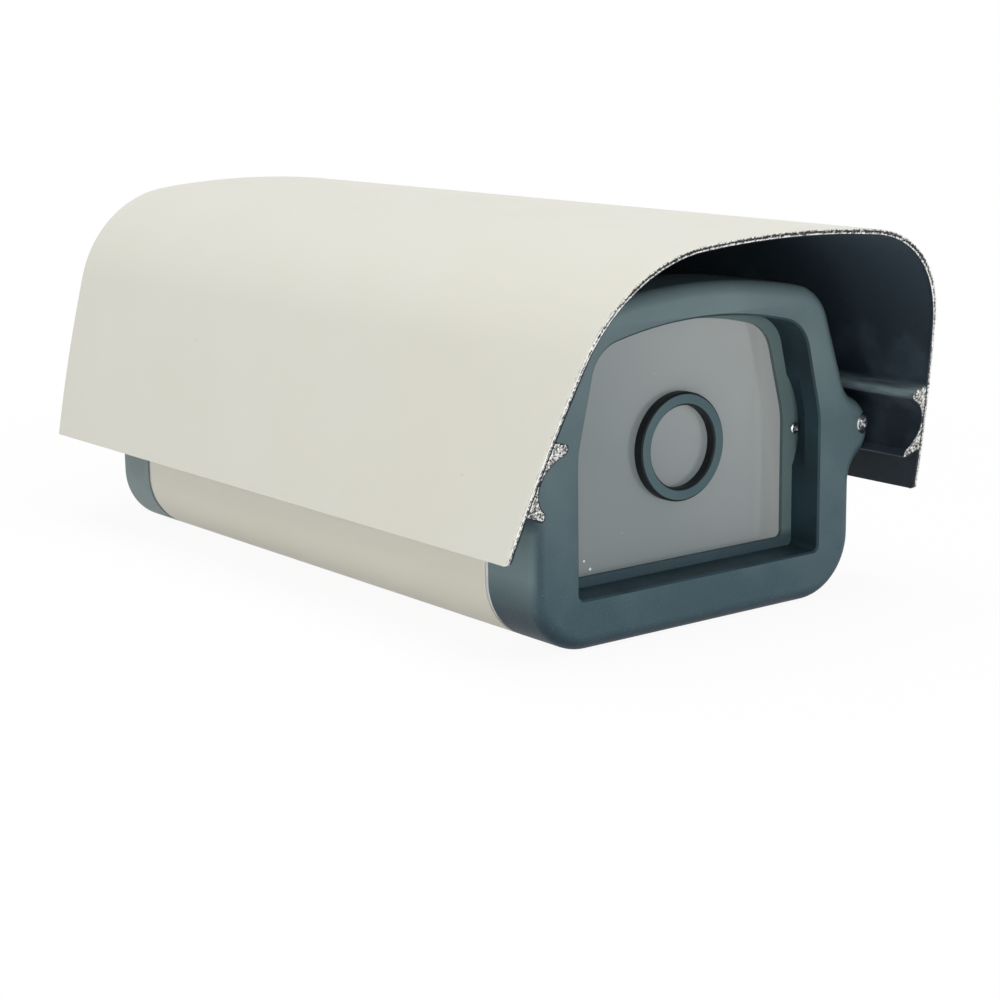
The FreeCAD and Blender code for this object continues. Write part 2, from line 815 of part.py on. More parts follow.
def make_front_cap():
    """Bezel: soft outer edge, deep window recess with a flange, hollow behind."""
    body = new_body("front_cap")
    housing_block(body, "cap_block", 0.0, front_cap_front, d.front_cap_depth)
    housing_block(body, "rear_hollow", d.cap_wall, frame_front,
                  front_cap_rear - frame_front, grows=False)
    back = new_sketch(body, "ring_hollow_section", station=front_cap_front + d.cap_wall)
    draw_loop(back, housing_outline(d.cap_wall))
    draw_loop(back, window_outline(-d.recess_wall, -d.recess_wall / 2, -d.recess_wall / 2))
    pocket(body, "ring_hollow", back, frame_front - front_cap_front - d.cap_wall)
    round_housing(body, "rear_hollow", d.cap_wall)
    round_housing(body, "cap_block", 0.0)
    add_ears(body, front_cap_front, d.front_cap_depth)
    round_edges(body, "cap_edge_round", d.cap_edge_radius, lies_in_plane_y(front_cap_front))

    window_block(body, "window_recess", (0.0, 0.0, 0.0), front_cap_front, d.recess_depth, False)
    rim_bottom = d.window_bottom.number - 0.1
    rim_half_width = window_half_width.number + 0.1

    def on_window_rim(edge):
        box = edge.BoundBox
        inside = box.XMax < rim_half_width and box.XMin > -rim_half_width
        above = box.ZMin > rim_bottom and box.ZMax < window_top.number + 0.1
        return lies_in_plane_y(front_cap_front)(edge) and inside and above

    bevel_edges(body, "window_edge_chamfer", d.window_edge_chamfer, on_window_rim)
    window_block(body, "flange_hole", inside_flange(0.0), flange_front, d.flange_thickness,
                 False)
    window_block(body, "glass_pocket", inside_flange(-d.glass_overlap - d.slide_clearance),
                 glass_front, frame_front - glass_front, False)

    centre = window_half_width + d.relief_rise - d.relief_radius
    relief = round_hole(body, "relief", centre, d.relief_level, d.relief_radius,
                        flange_front - d.relief_depth, d.relief_depth)
    mirror(body, "relief_mirrored", [relief], False)
    screw = round_hole(body, "glass_screw_hole", glass_screw_across, d.relief_level,
                       d.glass_screw_radius + d.screw_clearance, flange_front,
                       frame_front - flange_front)
    mirror(body, "glass_screw_holes_mirrored", [screw], False)
    cut_ear_screws(body, front_cap_front, front_cap_rear, True)
    return body


def make_rear_cap():
    """Closed cap with the same ears and a hole for each cable gland."""
    body = new_body("rear_cap")
    housing_block(body, "cap_block", 0.0, rear_cap_front, d.rear_cap_depth)
    housing_block(body, "rear_hollow", d.cap_wall, rear_cap_front,
                  d.rear_cap_depth - d.cap_wall, grows=False)
    round_housing(body, "rear_hollow", d.cap_wall)
    round_housing(body, "cap_block", 0.0)
    add_ears(body, rear_cap_front, d.rear_cap_depth)
    bevel_edges(body, "rear_edge_chamfer", d.rear_edge_chamfer, lies_in_plane_y(rear_cap_rear))
    gland = round_hole(body, "gland_hole", d.gland_across, d.gland_level,
                       d.gland_thread_radius + d.screw_clearance, rear_wall_inside, d.cap_wall)
    mirror(body, "gland_hole_mirrored", [gland], False)
    cut_ear_screws(body, rear_cap_front, rear_cap_rear, False)
    return body


def make_gasket(label, station):
    """Flat ring between a cap and the body, with a lobe behind each ear."""
    body = new_body(label)
    inner = d.gasket_setback + d.gasket_width
    housing_block(body, "ring_block", d.gasket_setback, station, d.gasket_thickness)
    housing_block(body, "ring_bore", inner, station, d.gasket_thickness, grows=False)
    round_housing(body, "ring_bore", inner)
    round_housing(body, "ring_block", d.gasket_setback)
    lobes = new_sketch(body, "lobe_section", station=station)
    draw_loop(lobes, bulge(ear_across, ear_level, d.ear_radius - d.gasket_setback,
                           d.body_half_width - inner + d.gasket_width * LOBE_SHARE))
    lobe = pad(body, "lobe", lobes, d.gasket_thickness)
    mirror(body, "lobe_mirrored", [lobe], True)
    hole = round_hole(body, "lobe_hole", cap_screw_across, cap_screw_level,
                      d.cap_screw_radius + d.screw_clearance, station, d.gasket_thickness)
    mirror(body, "lobe_hole_mirrored", [hole], False)
    return body


# Window pieces

def make_window_glass():
    body = new_body("window_glass")
    window_block(body, "pane", inside_flange(-d.glass_overlap), glass_front,
                 d.glass_thickness, True)
    return body


def make_window_ring(label, width, spread, station, thickness):
    """Flat ring in the shape of the window, behind the glass."""
    body = new_body(label)
    outside = -d.glass_overlap - spread
    window_block(body, "ring_block", inside_flange(outside), station, thickness, True)
    window_block(body, "ring_hole", inside_flange(outside + width), station, thickness, False)
    return body


def make_glass_frame():
    spread = d.frame_width - d.seal_width
    body = make_window_ring("glass_frame", d.frame_width, spread, frame_front,
                            d.frame_thickness)
    hole = round_hole(body, "frame_screw_hole", glass_screw_across, d.relief_level,
                      d.glass_screw_radius + d.thread_clearance, frame_front,
                      d.frame_thickness)
    mirror(body, "frame_screw_hole_mirrored", [hole], False)
    return body


def make_lens_ring():
    """Short tube that stands on the outer face of the glass."""
    body = new_body("lens_ring")
    rim = d.ring_edge - d.ring_height
    turn(body, "tube", [
        (d.ring_inner_radius, 0.0), (d.ring_inner_radius, rim),
        (d.ring_inner_radius + d.ring_edge, -d.ring_height),
        (d.ring_outer_radius - d.ring_edge, -d.ring_height),
        (d.ring_outer_radius, rim), (d.ring_outer_radius, 0.0)])
    place(body, d.ring_across, glass_front, d.ring_level)
    return body


# Screws

def make_screw(label, radius, length, head_radius, head_height):
    """Pan-head screw along Y; its head faces -Y and seats at Y zero."""
    body = new_body(label)
    turn(body, "shank_and_head", [
        (0.0, -head_height), (head_radius * HEAD_TOP_RADIUS, -head_height),
        (head_radius, -head_height * HEAD_RIM_HEIGHT), (head_radius, 0.0),
        (radius, 0.0), (radius, length), (0.0, length)])
    return body


def make_cap_screws(label, seat, faces_front):
    """Screw of each ear: it goes through cap and gasket into the port of the side rail."""
    to_body = body_front - seat if faces_front else seat - body_rear
    screw = make_screw(f"{label}_right", d.cap_screw_radius, to_body + d.cap_screw_grip,
                       d.cap_screw_head_radius, d.cap_screw_head_height)
    place(screw, cap_screw_across, seat, cap_screw_level)
    if not faces_front:
        screw.Placement.Rotation = FreeCAD.Rotation(FreeCAD.Vector(0, 0, 1), 180)
    doc.recompute()
    return group(label, [screw, mirrored_copy(screw, f"{label}_left")])


def make_glass_screws():
    length = frame_front + d.frame_thickness - flange_front
    screw = make_screw("glass_screw_right", d.glass_screw_radius, length,
                       d.glass_screw_head_radius, d.glass_screw_head_height)
    place(screw, glass_screw_across, flange_front, d.relief_level)
    doc.recompute()
    return group("glass_screws", [screw, mirrored_copy(screw, "glass_screw_left")])


def make_tray_screws():
    """Four short screws that hold the tray down on the ledges."""
    top = d.tray_level + d.tray_thickness
    across = d.body_half_width - d.body_wall - d.tray_screw_inset
    screws = []
    for end, title in ((LEFT, "front"), (RIGHT, "rear")):
        screw = make_screw(f"tray_screw_{title}", d.cap_screw_radius,
                           d.tray_thickness + d.ledge_thickness,
                           d.cap_screw_head_radius, d.cap_screw_head_height)
        place(screw, across, d.tray_screw_spacing / 2 * end, top)
        screw.Placement.Rotation = FreeCAD.Rotation(FreeCAD.Vector(1, 0, 0), -90)
        doc.recompute()
        screws.append(screw)
        screws.append(mirrored_copy(screw, f"tray_screw_{title}_left"))
    return group("tray_screws", screws)


# Camera tray and seat

def make_camera_tray():
    body = new_body("camera_tray")
    inside = d.body_half_width - d.body_wall
    half = inside - d.sheet_clearance
    sheet_outline = new_sketch(body, "sheet_outline", "XY_Plane", d.tray_level)
    draw_loop(sheet_outline, box_corners(-half, half, -d.tray_length / 2, d.tray_length / 2))
    pad(body, "sheet", sheet_outline, d.tray_thickness, towards_rear=False)

    slot_radius = d.camera_screw_radius + d.screw_clearance
    slot_reach = d.tray_slot_length / 2 - slot_radius
    openings = new_sketch(body, "slot_outline", "XY_Plane", d.tray_level + d.tray_thickness)
    draw_loop(openings, [(slot_radius, -slot_reach), (slot_radius, slot_reach, -slot_radius),
                         (-slot_radius, slot_reach), (-slot_radius, -slot_reach, -slot_radius)])
    across = inside - d.tray_screw_inset
    for side in (LEFT, RIGHT):
        for end in (LEFT, RIGHT):
            draw_circle(openings, across * side, d.tray_screw_spacing / 2 * end,
                        d.cap_screw_radius + d.screw_clearance)
    pocket(body, "slot_and_holes", openings, d.tray_thickness)
    notch = new_sketch(body, "cable_notch_outline", "XY_Plane",
                       d.tray_level + d.tray_thickness)
    draw_loop(notch, box_corners(-d.tray_notch_width / 2, d.tray_notch_width / 2,
                                 d.tray_length / 2 - d.tray_notch_depth,
                                 d.tray_length / 2 + PASS_BY))
    pocket(body, "cable_notch", notch, d.tray_thickness)
    return body


def make_seat_block(label, level, height, grooved):
    """Block on the tray with a hole for the camera screw; the seat has grooves in its sides."""
    body = new_body(label)
    outline = new_sketch(body, "outline", "XY_Plane", level)
    draw_loop(outline, box_corners(-d.seat_width / 2, d.seat_width / 2,
                                   -d.seat_length / 2, d.seat_length / 2))
    pad(body, "block", outline, height, towards_rear=False)
    hole = new_sketch(body, "hole_circle", "XY_Plane", level + height)
    draw_circle(hole, 0.0, 0.0, d.camera_screw_radius + d.screw_clearance)
    pocket(body, "hole", hole, height)
    if grooved:
        grooves = new_sketch(body, "groove_section", "YZ_Plane", d.seat_width / 2)
        draw_loop(grooves, box_corners(-d.seat_groove_width / 2, d.seat_groove_width / 2,
                                       level + height / 3, level + height * 2 / 3))
        groove = pocket(body, "groove", grooves, d.seat_width / 8)
        mirror(body, "groove_mirrored", [groove], False)
    round_edges(body, "corner_round", d.seat_width / 12,
                lambda edge: edge.BoundBox.ZLength > height.number - 0.01
                and edge.BoundBox.XLength < 0.01 and edge.BoundBox.YLength < 0.01
                and abs(abs(edge.BoundBox.XMin) - d.seat_width.number / 2) < 0.01)
    return body


def make_camera_screw():
    """Thumbscrew under the tray whose thread stands up through the seat and the pad."""
    body = new_body("camera_screw")
    pad_top = d.tray_thickness + d.seat_height + d.pad_thickness
    thread_start = pad_top + d.camera_screw_relief
    stack = pad_top + d.camera_screw_reach
    radius = d.camera_screw_radius
    shank = radius - d.camera_screw_relief
    turn(body, "head_and_shank", [
        (0.0, -d.thumb_head_height),
        (d.thumb_head_radius - d.thumb_head_edge, -d.thumb_head_height),
        (d.thumb_head_radius, -d.thumb_head_height + d.thumb_head_edge),
        (d.thumb_head_radius, 0.0), (shank, 0.0), (shank, thread_start),
        (radius, thread_start), (radius, stack - d.thread_edge),
        (radius - d.thread_edge, stack), (0.0, stack)], "XZ_Plane")
    place(body, 0.0, 0.0, d.tray_level)
    return body


# Cable glands

def hexagon(flats):
    """Corners of a hexagon with two flats level."""
    radius = flats / math.sqrt(3)
    half = radius / 2
    level = flats / 2
    return [(radius, as_size(0.0)), (half, level), (-half, level),
            (-radius, as_size(0.0)), (-half, -level), (half, -level)]


def hex_block(body, name, station, length):
    sketch = new_sketch(body, f"{name}_section", station=station)
    draw_loop(sketch, hexagon(d.gland_flats))
    return pad(body, name, sketch, length)


def make_gland(title, side):
    """Gland of one side: body, washer, seal, dome nut and the locknut inside the cap."""
    across = d.gland_across * side
    seat = rear_cap_rear + d.washer_thickness
    flange_end = seat + d.gland_flange_thickness
    stub_end = flange_end + d.gland_stub_length
    seal_start = stub_end - d.gland_stub_length + d.nut_gap * 2
    thread_end = rear_wall_inside - d.locknut_thickness - d.nut_gap

    gland = new_body(f"{title}_gland_body")
    hex_block(gland, "flange", seat, d.gland_flange_thickness)
    for name, radius, station, length in (
            ("thread", d.gland_thread_radius, thread_end, seat - thread_end),
            ("stub", d.gland_stub_radius, flange_end, d.gland_stub_length)):
        circle = new_sketch(gland, f"{name}_circle", station=station)
        draw_circle(circle, 0.0, 0.0, radius)
        pad(gland, name, circle, length)
    round_hole(gland, "bore", 0.0, 0.0, d.gland_bore_radius, thread_end, stub_end - thread_end)
    round_hole(gland, "seal_seat", 0.0, 0.0, d.gland_seat_radius, seal_start,
               stub_end - seal_start)

    washer = new_body(f"{title}_gland_washer")
    turn(washer, "ring", box_corners(d.gland_thread_radius + d.screw_clearance,
                                     d.washer_radius, rear_cap_rear, seat))

    seal = new_body(f"{title}_gland_seal")
    turn(seal, "ring", box_corners(d.cable_radius, d.gland_seat_radius - d.screw_clearance,
                                   seal_start, stub_end + d.nut_gap))

    nut = new_body(f"{title}_gland_nut")
    nut_start = flange_end + d.nut_gap
    nut_end = nut_start + d.nut_body_length
    hex_block(nut, "nut_block", nut_start, d.nut_body_length)
    dome = new_sketch(nut, "dome_profile", "XY_Plane", 0.0)
    draw_loop(dome, [(0.0, nut_end - PASS_BY), (d.gland_flats / 2, nut_end - PASS_BY),
                     (d.gland_flats / 2, nut_end),
                     (d.gland_flats / 2 - d.nut_dome_step, nut_end + d.nut_dome_length / 2),
                     (d.nut_mouth_radius + d.nut_mouth_wall, nut_end + d.nut_dome_length),
                     (0.0, nut_end + d.nut_dome_length)])
    turned = nut.newObject("PartDesign::Revolution", "dome")
    turned.Profile = dome
    turned.ReferenceAxis = (dome, ["V_Axis"])
    turned.Angle = 360
    finish_feature(nut, turned, True)
    round_hole(nut, "nut_bore", 0.0, 0.0, d.gland_stub_radius + d.screw_clearance,
               nut_start, stub_end + d.nut_gap - nut_start)
    round_hole(nut, "nut_mouth", 0.0, 0.0, d.nut_mouth_radius, nut_start,
               d.nut_body_length + d.nut_dome_length)

    locknut = new_body(f"{title}_gland_locknut")
    hex_block(locknut, "nut_block", rear_wall_inside - d.locknut_thickness,
              d.locknut_thickness)
    round_hole(locknut, "nut_bore", 0.0, 0.0, d.gland_thread_radius + d.screw_clearance,
               rear_wall_inside - d.locknut_thickness, d.locknut_thickness)

    pieces = [gland, washer, seal, nut, locknut]
    for piece in pieces:
        place(piece, across, 0.0, d.gland_level)
    return pieces


# Every piece of the housing

pieces = [
    make_body_tube(),
    make_front_cap(),
    make_gasket("front_gasket", front_cap_rear),
    make_window_glass(),
    make_window_ring("glass_seal", d.seal_width, as_size(0.0), glass_rear, d.seal_thickness),
    make_glass_frame(),
    make_lens_ring(),
    make_cap_screws("front_cap_screws", front_cap_front + d.cap_screw_front_inset, True),
    make_glass_screws(),
    make_rear_cap(),
    make_gasket("rear_gasket", body_rear),
    make_cap_screws("rear_cap_screws", rear_cap_rear - d.cap_screw_front_inset, False),
    make_camera_tray(),
    make_tray_screws(),
    make_seat_block("camera_block", d.tray_level + d.tray_thickness, d.seat_height, True),
    make_seat_block("camera_pad", d.tray_level + d.tray_thickness + d.seat_height,
                    d.pad_thickness, False),
    make_camera_screw(),
    make_sunshield(),
]
for title, side in SIDES.items():
    pieces.extend(make_gland(title, side))

doc.recompute()

for thing in doc.Objects:
    if "Invalid" in thing.State or "Error" in thing.State:
        raise RuntimeError(f"{thing.Label} did not recompute: {thing.State}")

for piece in pieces:
    if piece.Shape.isNull() or not piece.Shape.isValid():
        raise RuntimeError(f"{piece.Label} has no sound shape")

for piece in pieces:
    piece.Shape.exportStep(f"parts/{piece.Label}.step")
    box = piece.Shape.optimalBoundingBox()
    print(f"{piece.Label}: {len(piece.Shape.Solids)} solids, {piece.Shape.Volume:.0f} mm3, "
          f"x {box.XMin:.2f} {box.XMax:.2f}, y {box.YMin:.2f} {box.YMax:.2f}, "
          f"z {box.ZMin:.2f} {box.ZMax:.2f}")
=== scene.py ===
"""Security camera housing: the finish of every surface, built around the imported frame.

Lengths are in metres, and sections are drawn in millimetres and scaled once.
"""
import math

import bmesh
import bpy
from mathutils import Matrix, Vector
from mathutils.geometry import delaunay_2d_cdt


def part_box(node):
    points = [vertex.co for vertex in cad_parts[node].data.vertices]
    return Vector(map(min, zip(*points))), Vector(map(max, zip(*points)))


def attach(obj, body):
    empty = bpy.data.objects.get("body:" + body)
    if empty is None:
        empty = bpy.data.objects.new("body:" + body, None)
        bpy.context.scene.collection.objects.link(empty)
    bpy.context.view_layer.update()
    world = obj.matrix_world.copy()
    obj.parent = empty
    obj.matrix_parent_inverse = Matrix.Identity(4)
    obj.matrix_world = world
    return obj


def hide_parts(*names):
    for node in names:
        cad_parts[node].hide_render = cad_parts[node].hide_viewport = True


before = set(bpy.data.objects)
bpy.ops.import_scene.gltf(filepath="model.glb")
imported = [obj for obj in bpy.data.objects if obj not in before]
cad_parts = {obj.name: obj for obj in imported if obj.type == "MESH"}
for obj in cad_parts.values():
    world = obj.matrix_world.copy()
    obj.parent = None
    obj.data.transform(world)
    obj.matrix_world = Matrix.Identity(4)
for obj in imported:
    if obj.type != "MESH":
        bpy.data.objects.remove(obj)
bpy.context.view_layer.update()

MM = 0.001
SCENE = bpy.context.scene
MATERIALS = {}


# Camera

CAMERA_PLACE = Vector((-0.3901, -0.5287, 0.1578))
CAMERA_AZIMUTH = math.radians(-37.51)
CAMERA_ELEVATION = math.radians(12.2)
CAMERA_ROLL = math.radians(-0.74)
CAMERA_LENS = 82.15
CAMERA_SENSOR = 36.0


def make_camera():
    """The photograph's viewpoint, fitted to the edges of the extrusions."""
    sin_az, cos_az = math.sin(CAMERA_AZIMUTH), math.cos(CAMERA_AZIMUTH)
    sin_el, cos_el = math.sin(CAMERA_ELEVATION), math.cos(CAMERA_ELEVATION)
    back = Vector((sin_az * cos_el, -cos_az * cos_el, sin_el))
    level_right = Vector((cos_az, sin_az, 0.0))
    level_up = back.cross(level_right)
    right = math.cos(CAMERA_ROLL) * level_right + math.sin(CAMERA_ROLL) * level_up
    up = -math.sin(CAMERA_ROLL) * level_right + math.cos(CAMERA_ROLL) * level_up
    data = bpy.data.cameras.new("photo_camera")
    data.lens = CAMERA_LENS
    data.sensor_width = CAMERA_SENSOR
    camera = bpy.data.objects.new("photo_camera", data)
    turn = Matrix((right, up, back)).transposed().to_4x4()
    camera.matrix_world = Matrix.Translation(CAMERA_PLACE) @ turn
    SCENE.collection.objects.link(camera)
    SCENE.camera = camera


# Node trees

class Nodes:
    """A node tree, with short calls for the nodes that the scene uses most."""

    def __init__(self, tree):
        self.tree = tree

    def put(self, socket, value):
        """Gives a socket a value of its own, or a link where the value is a socket."""
        if isinstance(value, bpy.types.NodeSocket):
            self.tree.links.new(value, socket)
        else:
            socket.default_value = value

    def node(self, kind, inputs=None, **settings):
        """Adds a node; inputs maps a socket's name or number to a value or another socket."""
        made = self.tree.nodes.new(kind)
        for name, value in settings.items():
            setattr(made, name, value)
        for key, value in (inputs or {}).items():
            self.put(made.inputs[key], value)
        return made

    def math(self, operation, *values):
        made = self.node("ShaderNodeMath", dict(enumerate(values)), operation=operation)
        return made.outputs[0]

    def times(self, product, *others):
        for value in others:
            product = self.math("MULTIPLY", product, value)
        return product

    def split(self, vector):
        return self.node("ShaderNodeSeparateXYZ", {0: vector}).outputs

    def range(self, value, low, high, start=0.0, end=1.0, blend="LINEAR"):
        """Goes from low to high while the value goes from start to end, and no further."""
        spans = {"Value": value, "From Min": start, "From Max": end,
                 "To Min": low, "To Max": high}
        return self.node("ShaderNodeMapRange", spans, interpolation_type=blend).outputs["Result"]


class Shader(Nodes):
    """A finish, kept in MATERIALS by its name, whose colour is laid on in layers."""

    def __init__(self, name, main=None):
        MATERIALS[name] = bpy.data.materials.new(name)
        MATERIALS[name].use_nodes = True
        super().__init__(MATERIALS[name].node_tree)
        self.tree.nodes.clear()
        self.surface = self.node("ShaderNodeBsdfPrincipled")
        self.node("ShaderNodeOutputMaterial", {"Surface": self.surface.outputs["BSDF"]})
        self.place = self.node("ShaderNodeTexCoord").outputs["Object"]
        self.x, self.y, self.z = self.split(self.place)
        self.base = main

    def noise(self, size, detail=3.0, roughness=0.5, stretch=(1, 1, 1)):
        """Noise whose grain is about the given size."""
        mapping = self.node("ShaderNodeMapping", {"Vector": self.place, "Scale": stretch})
        made = self.node("ShaderNodeTexNoise",
                         {"Vector": mapping.outputs["Vector"], "Scale": 1 / size,
                          "Detail": detail, "Roughness": roughness})
        return made.outputs["Fac"]

    def tint(self, share, tone):
        """Lays a share of a tone over the colour so far."""
        mix = self.node("ShaderNodeMix", {0: share, 6: self.base, 7: tone}, data_type="RGBA")
        self.base = mix.outputs[2]

    def speckle(self, size, most, start, end, tone, detail=1.0):
        """Lays specks of a tone where fine noise lies above the start."""
        self.tint(self.range(self.noise(size, detail), 0.0, most, start, end), tone)

    def bump(self, height, depth, strength, under=None):
        """Raises the surface by depth metres where the height is one."""
        made = self.node("ShaderNodeBump",
                         {"Strength": strength, "Distance": depth, "Height": height})
        if under is not None:
            self.put(made.inputs["Normal"], under)
        return made.outputs["Normal"]

    def finish(self, **sockets):
        """Sets the colour and the shader's other sockets, such as Coat_Weight."""
        for name, value in {"Base_Color": self.base, **sockets}.items():
            self.put(self.surface.inputs[name.replace("_", " ")], value)


# Colours

def colour(red, green, blue):
    """A colour as it is seen, from 0 to 255, in the shader's own scale."""
    def straight(level):
        share = level / 255
        return share / 12.92 if share <= 0.04045 else ((share + 0.055) / 1.055) ** 2.4
    return (straight(red), straight(green), straight(blue), 1.0)


CREAM = colour(212, 211, 201)
CREAM_WARM = colour(209, 207, 195)
BODY_CREAM = colour(221, 219, 205)
BODY_CREAM_WARM = colour(217, 214, 199)
BODY_FOOT_SHADE = colour(203, 200, 185)
PAINT_DUST = colour(150, 147, 136)
ROOF_SHADE = colour(34, 42, 46)
HOOD_DARK = colour(19, 32, 43)
HOOD_WORN_AND_LIT = colour(74, 92, 104)
HOOD_DUST = colour(120, 128, 130)
LIP_HIGHLIGHT = colour(132, 152, 158)
CAP_BLUE = colour(51, 74, 83)
CAP_BLUE_PATCHY_AND_LIT = colour(102, 120, 123)
CAP_BLUE_SHADE = colour(5, 36, 50)
CAP_BLUE_SIDE_LIGHT = colour(118, 140, 142)
CAP_RUBBED = colour(104, 122, 126)
DARK_RIM_SHADE = colour(24, 30, 34)
CAP_WEATHERED = colour(134, 148, 148)
CAP_WEATHERED_DEEP = colour(120, 134, 136)
RECESS_SHADE_BLUE = colour(39, 64, 74)
RECESS_SHADE_DEEP = colour(26, 46, 53)
RECESS_RUBBED_IN_SHADE = colour(50, 68, 74)
FLANGE_LIT = colour(88, 106, 106)
FLANGE_LOW = colour(50, 69, 78)
FLANGE_RUBBED = colour(116, 130, 128)
RING_BLUE = colour(68, 92, 97)
RING_BLUE_DEEP = colour(59, 83, 89)
RING_RUBBED = colour(100, 118, 121)
RING_WALL_DARK_SHADE = colour(16, 22, 26)
GLASS_GREY = colour(122, 132, 134)
GLASS_HAZE_AND_LIGHT = colour(161, 165, 164)
GLASS_DUST = colour(190, 195, 194)
GLASS_SPECK = colour(240, 242, 242)
BARE_METAL = colour(186, 186, 183)
BARE_METAL_BRIGHT = colour(240, 240, 236)
BARE_METAL_DARK = colour(96, 97, 98)
SAW_DARK = colour(30, 30, 32)
FLOOR_WHITE = colour(244, 244, 243)

# Sawn front edge of the sunshield, in metres
TIP = -0.1158
RAKE = 0.0239
SHIELD_BOTTOM = 0.0282
SHIELD_TOP = 0.1044
SHIELD_WIDTH = 0.140

# The saw ran slightly askew: the left side is this much shorter than the right
CUT_SKEW = 0.0021

# How far the paint is chipped away behind the cut, at most
CHIP_REACH = 0.0011

# Levels between which the lining turns paler, as painted light towards the top of the hood
LINING_LIGHT_LEVELS = (0.058, 0.103)

# Levels and distance from the middle between which the painted highlight on the upper lips
# begins and ends
LIP_HIGHLIGHT_FROM = (0.0548, 0.0556)
LIP_HIGHLIGHT_TO = (0.0586, 0.0594)
LIP_HIGHLIGHT_OUT = (0.0612, 0.0624)

# Levels between which the cut turns darker towards the crown
CUT_DARKER_FROM = (0.080, 0.094)

# Levels over which the dark rim at the inner edge of the cut becomes narrow, and its shares
# of the wall below and above them
RIM_FROM = (0.070, 0.085)
RIM_SHARES = (0.48, 0.20)

# Where across the wall the cut is dullest, painted highlights rising from it towards both edges,
# and how ragged the dark rim is
DULL_LINE = 0.58
RIM_RAGGED = 0.12

# Tones of the cut, each with the brightness of the metal at which it shows
SAWN_TONES = ((0.42, SAW_DARK), (0.48, BARE_METAL_DARK), (0.53, BARE_METAL),
              (0.60, BARE_METAL_BRIGHT))

# Levels between which the body's paint turns to the painted shade on its roof under the shield
ROOF_SHADE_FROM = (0.0815, 0.0850)

# Levels between which the painted shade on the body's foot ends
FOOT_SHADE_LEVELS = (0.002, 0.022)

# Levels over which the painted side light of a cap gives way to painted shade towards its foot
FLANK_FROM = (0.004, 0.020)

# Where the tone rises with the height: its shares below and above, and the patches' share
RISE_SHARES = (-0.12, 0.88)
PATCH_SHARE = 0.24

# How far a surface faces sideways at the painted shade on the upright corners of a cap
CORNER_FACING = 0.55

# Distance to the right at which the painted highlight along the edge of the glass begins and
# ends
GLASS_EDGE_HIGHLIGHT = (0.028, 0.036)

# Bright specks on the outer face of the glass: place and radius
GLASS_SPECKS = (((-0.0308, -0.0953, 0.0200), 0.0003), ((-0.0288, -0.0953, 0.0176), 0.0004))


# Finishes

def paint(name, main, warm, worn_edge=False):
    """Satin paint with a fine orange-peel skin, faint clouding and a few pin specks, chipped
    behind a worn edge, else with painted shade at the foot and on the roof.
    """
    shader = Shader(name, main)
    shader.tint(shader.range(shader.noise(0.045, detail=2.0), 0.1, 0.7, 0.30, 0.70), warm)
    shader.speckle(0.0011, 0.55, 0.80, 0.86, PAINT_DUST)
    peel = shader.bump(shader.noise(0.0009, detail=2.0), 0.00002, 0.35)
    rough = shader.range(shader.noise(0.012), 0.42, 0.52)
    bare = 0.0
    if worn_edge:
        slope = RAKE / (SHIELD_TOP - SHIELD_BOTTOM)
        lean = shader.math("MULTIPLY_ADD", shader.z, slope, -SHIELD_BOTTOM * slope - TIP)
        skew = shader.math("MULTIPLY_ADD", shader.x, CUT_SKEW / SHIELD_WIDTH, -CUT_SKEW / 2)
        behind = shader.math("ADD", shader.y, shader.math("ADD", lean, skew))
        ragged = shader.noise(0.0016, detail=4.0, roughness=0.7)
        bare = shader.math("LESS_THAN", behind,
                           shader.range(ragged, 0.0, CHIP_REACH, 0.40, 0.75))
        shader.tint(bare, BARE_METAL)
    else:
        # Painted shade: the body darkens towards its foot
        shader.tint(shader.range(shader.z, 0.7, 0.0, *FOOT_SHADE_LEVELS), BODY_FOOT_SHADE)
        # Painted shade: the roof under the shield is dark
        shader.tint(shader.range(shader.z, 0.0, 1.0, *ROOF_SHADE_FROM), ROOF_SHADE)
    shader.finish(Roughness=rough, Normal=peel, Metallic=bare, Coat_Weight=0.05,
                  Coat_Roughness=0.3)


def moulded_plastic(name, main, other, rubbed, grain=0.00055, rough=(0.46, 0.60), rise=None,
                    foot=None, painted_side_light=None):
    """Spark-grained moulding: fine pits, uneven tone and a paler rub on its high grains.

    The tone changes to the other one in patches, or with the height between two levels,
    which on the cap is painted light, paler towards the top. Where the surface faces down,
    low on the sides or at an upright corner, it takes the foot's tone as painted shade, and on
    the sides it takes a painted side light.
    """
    shader = Shader(name, main)
    share = shader.range(shader.noise(0.020), 0.0, 1.0, 0.35, 0.65)
    if rise:
        height = shader.range(shader.z, *RISE_SHARES, *rise)
        share = shader.math("MULTIPLY_ADD", share, PATCH_SHARE, height)
    shader.tint(share, other)
    if foot:
        facing = shader.node("ShaderNodeAttribute", attribute_name="facing").outputs["Vector"]
        sideways, _, upward = shader.split(facing)
        sideways = shader.math("ABSOLUTE", sideways)
        # Painted light on the sides, fading out towards the foot
        shader.tint(shader.times(shader.range(sideways, 0.0, 0.66, 0.70, 0.99),
                                 shader.range(shader.z, 0.0, 1.0, *FLANK_FROM)), painted_side_light)
        # Painted shade where the surface faces down, low on the sides and at the upright corners
        low = shader.times(shader.range(sideways, 0.0, 0.95, 0.20, 0.75),
                           shader.range(shader.z, 1.0, 0.0, *FLANK_FROM))
        corner = shader.math("ABSOLUTE", shader.math("SUBTRACT", sideways, CORNER_FACING))
        for darker in (shader.range(corner, 0.32, 0.0, 0.0, 0.35),
                       shader.range(upward, 1.0, 0.0, -0.60, 0.0)):
            low = shader.math("MAXIMUM", low, darker)
        shader.tint(low, foot)
    grains = shader.noise(grain, roughness=0.65)
    shader.tint(shader.range(grains, 0.0, 0.45, 0.58, 0.80), rubbed)
    shader.finish(Roughness=shader.range(shader.noise(0.006), *rough),
                  Normal=shader.bump(grains, 0.00006, 0.45), Specular_IOR_Level=0.3)


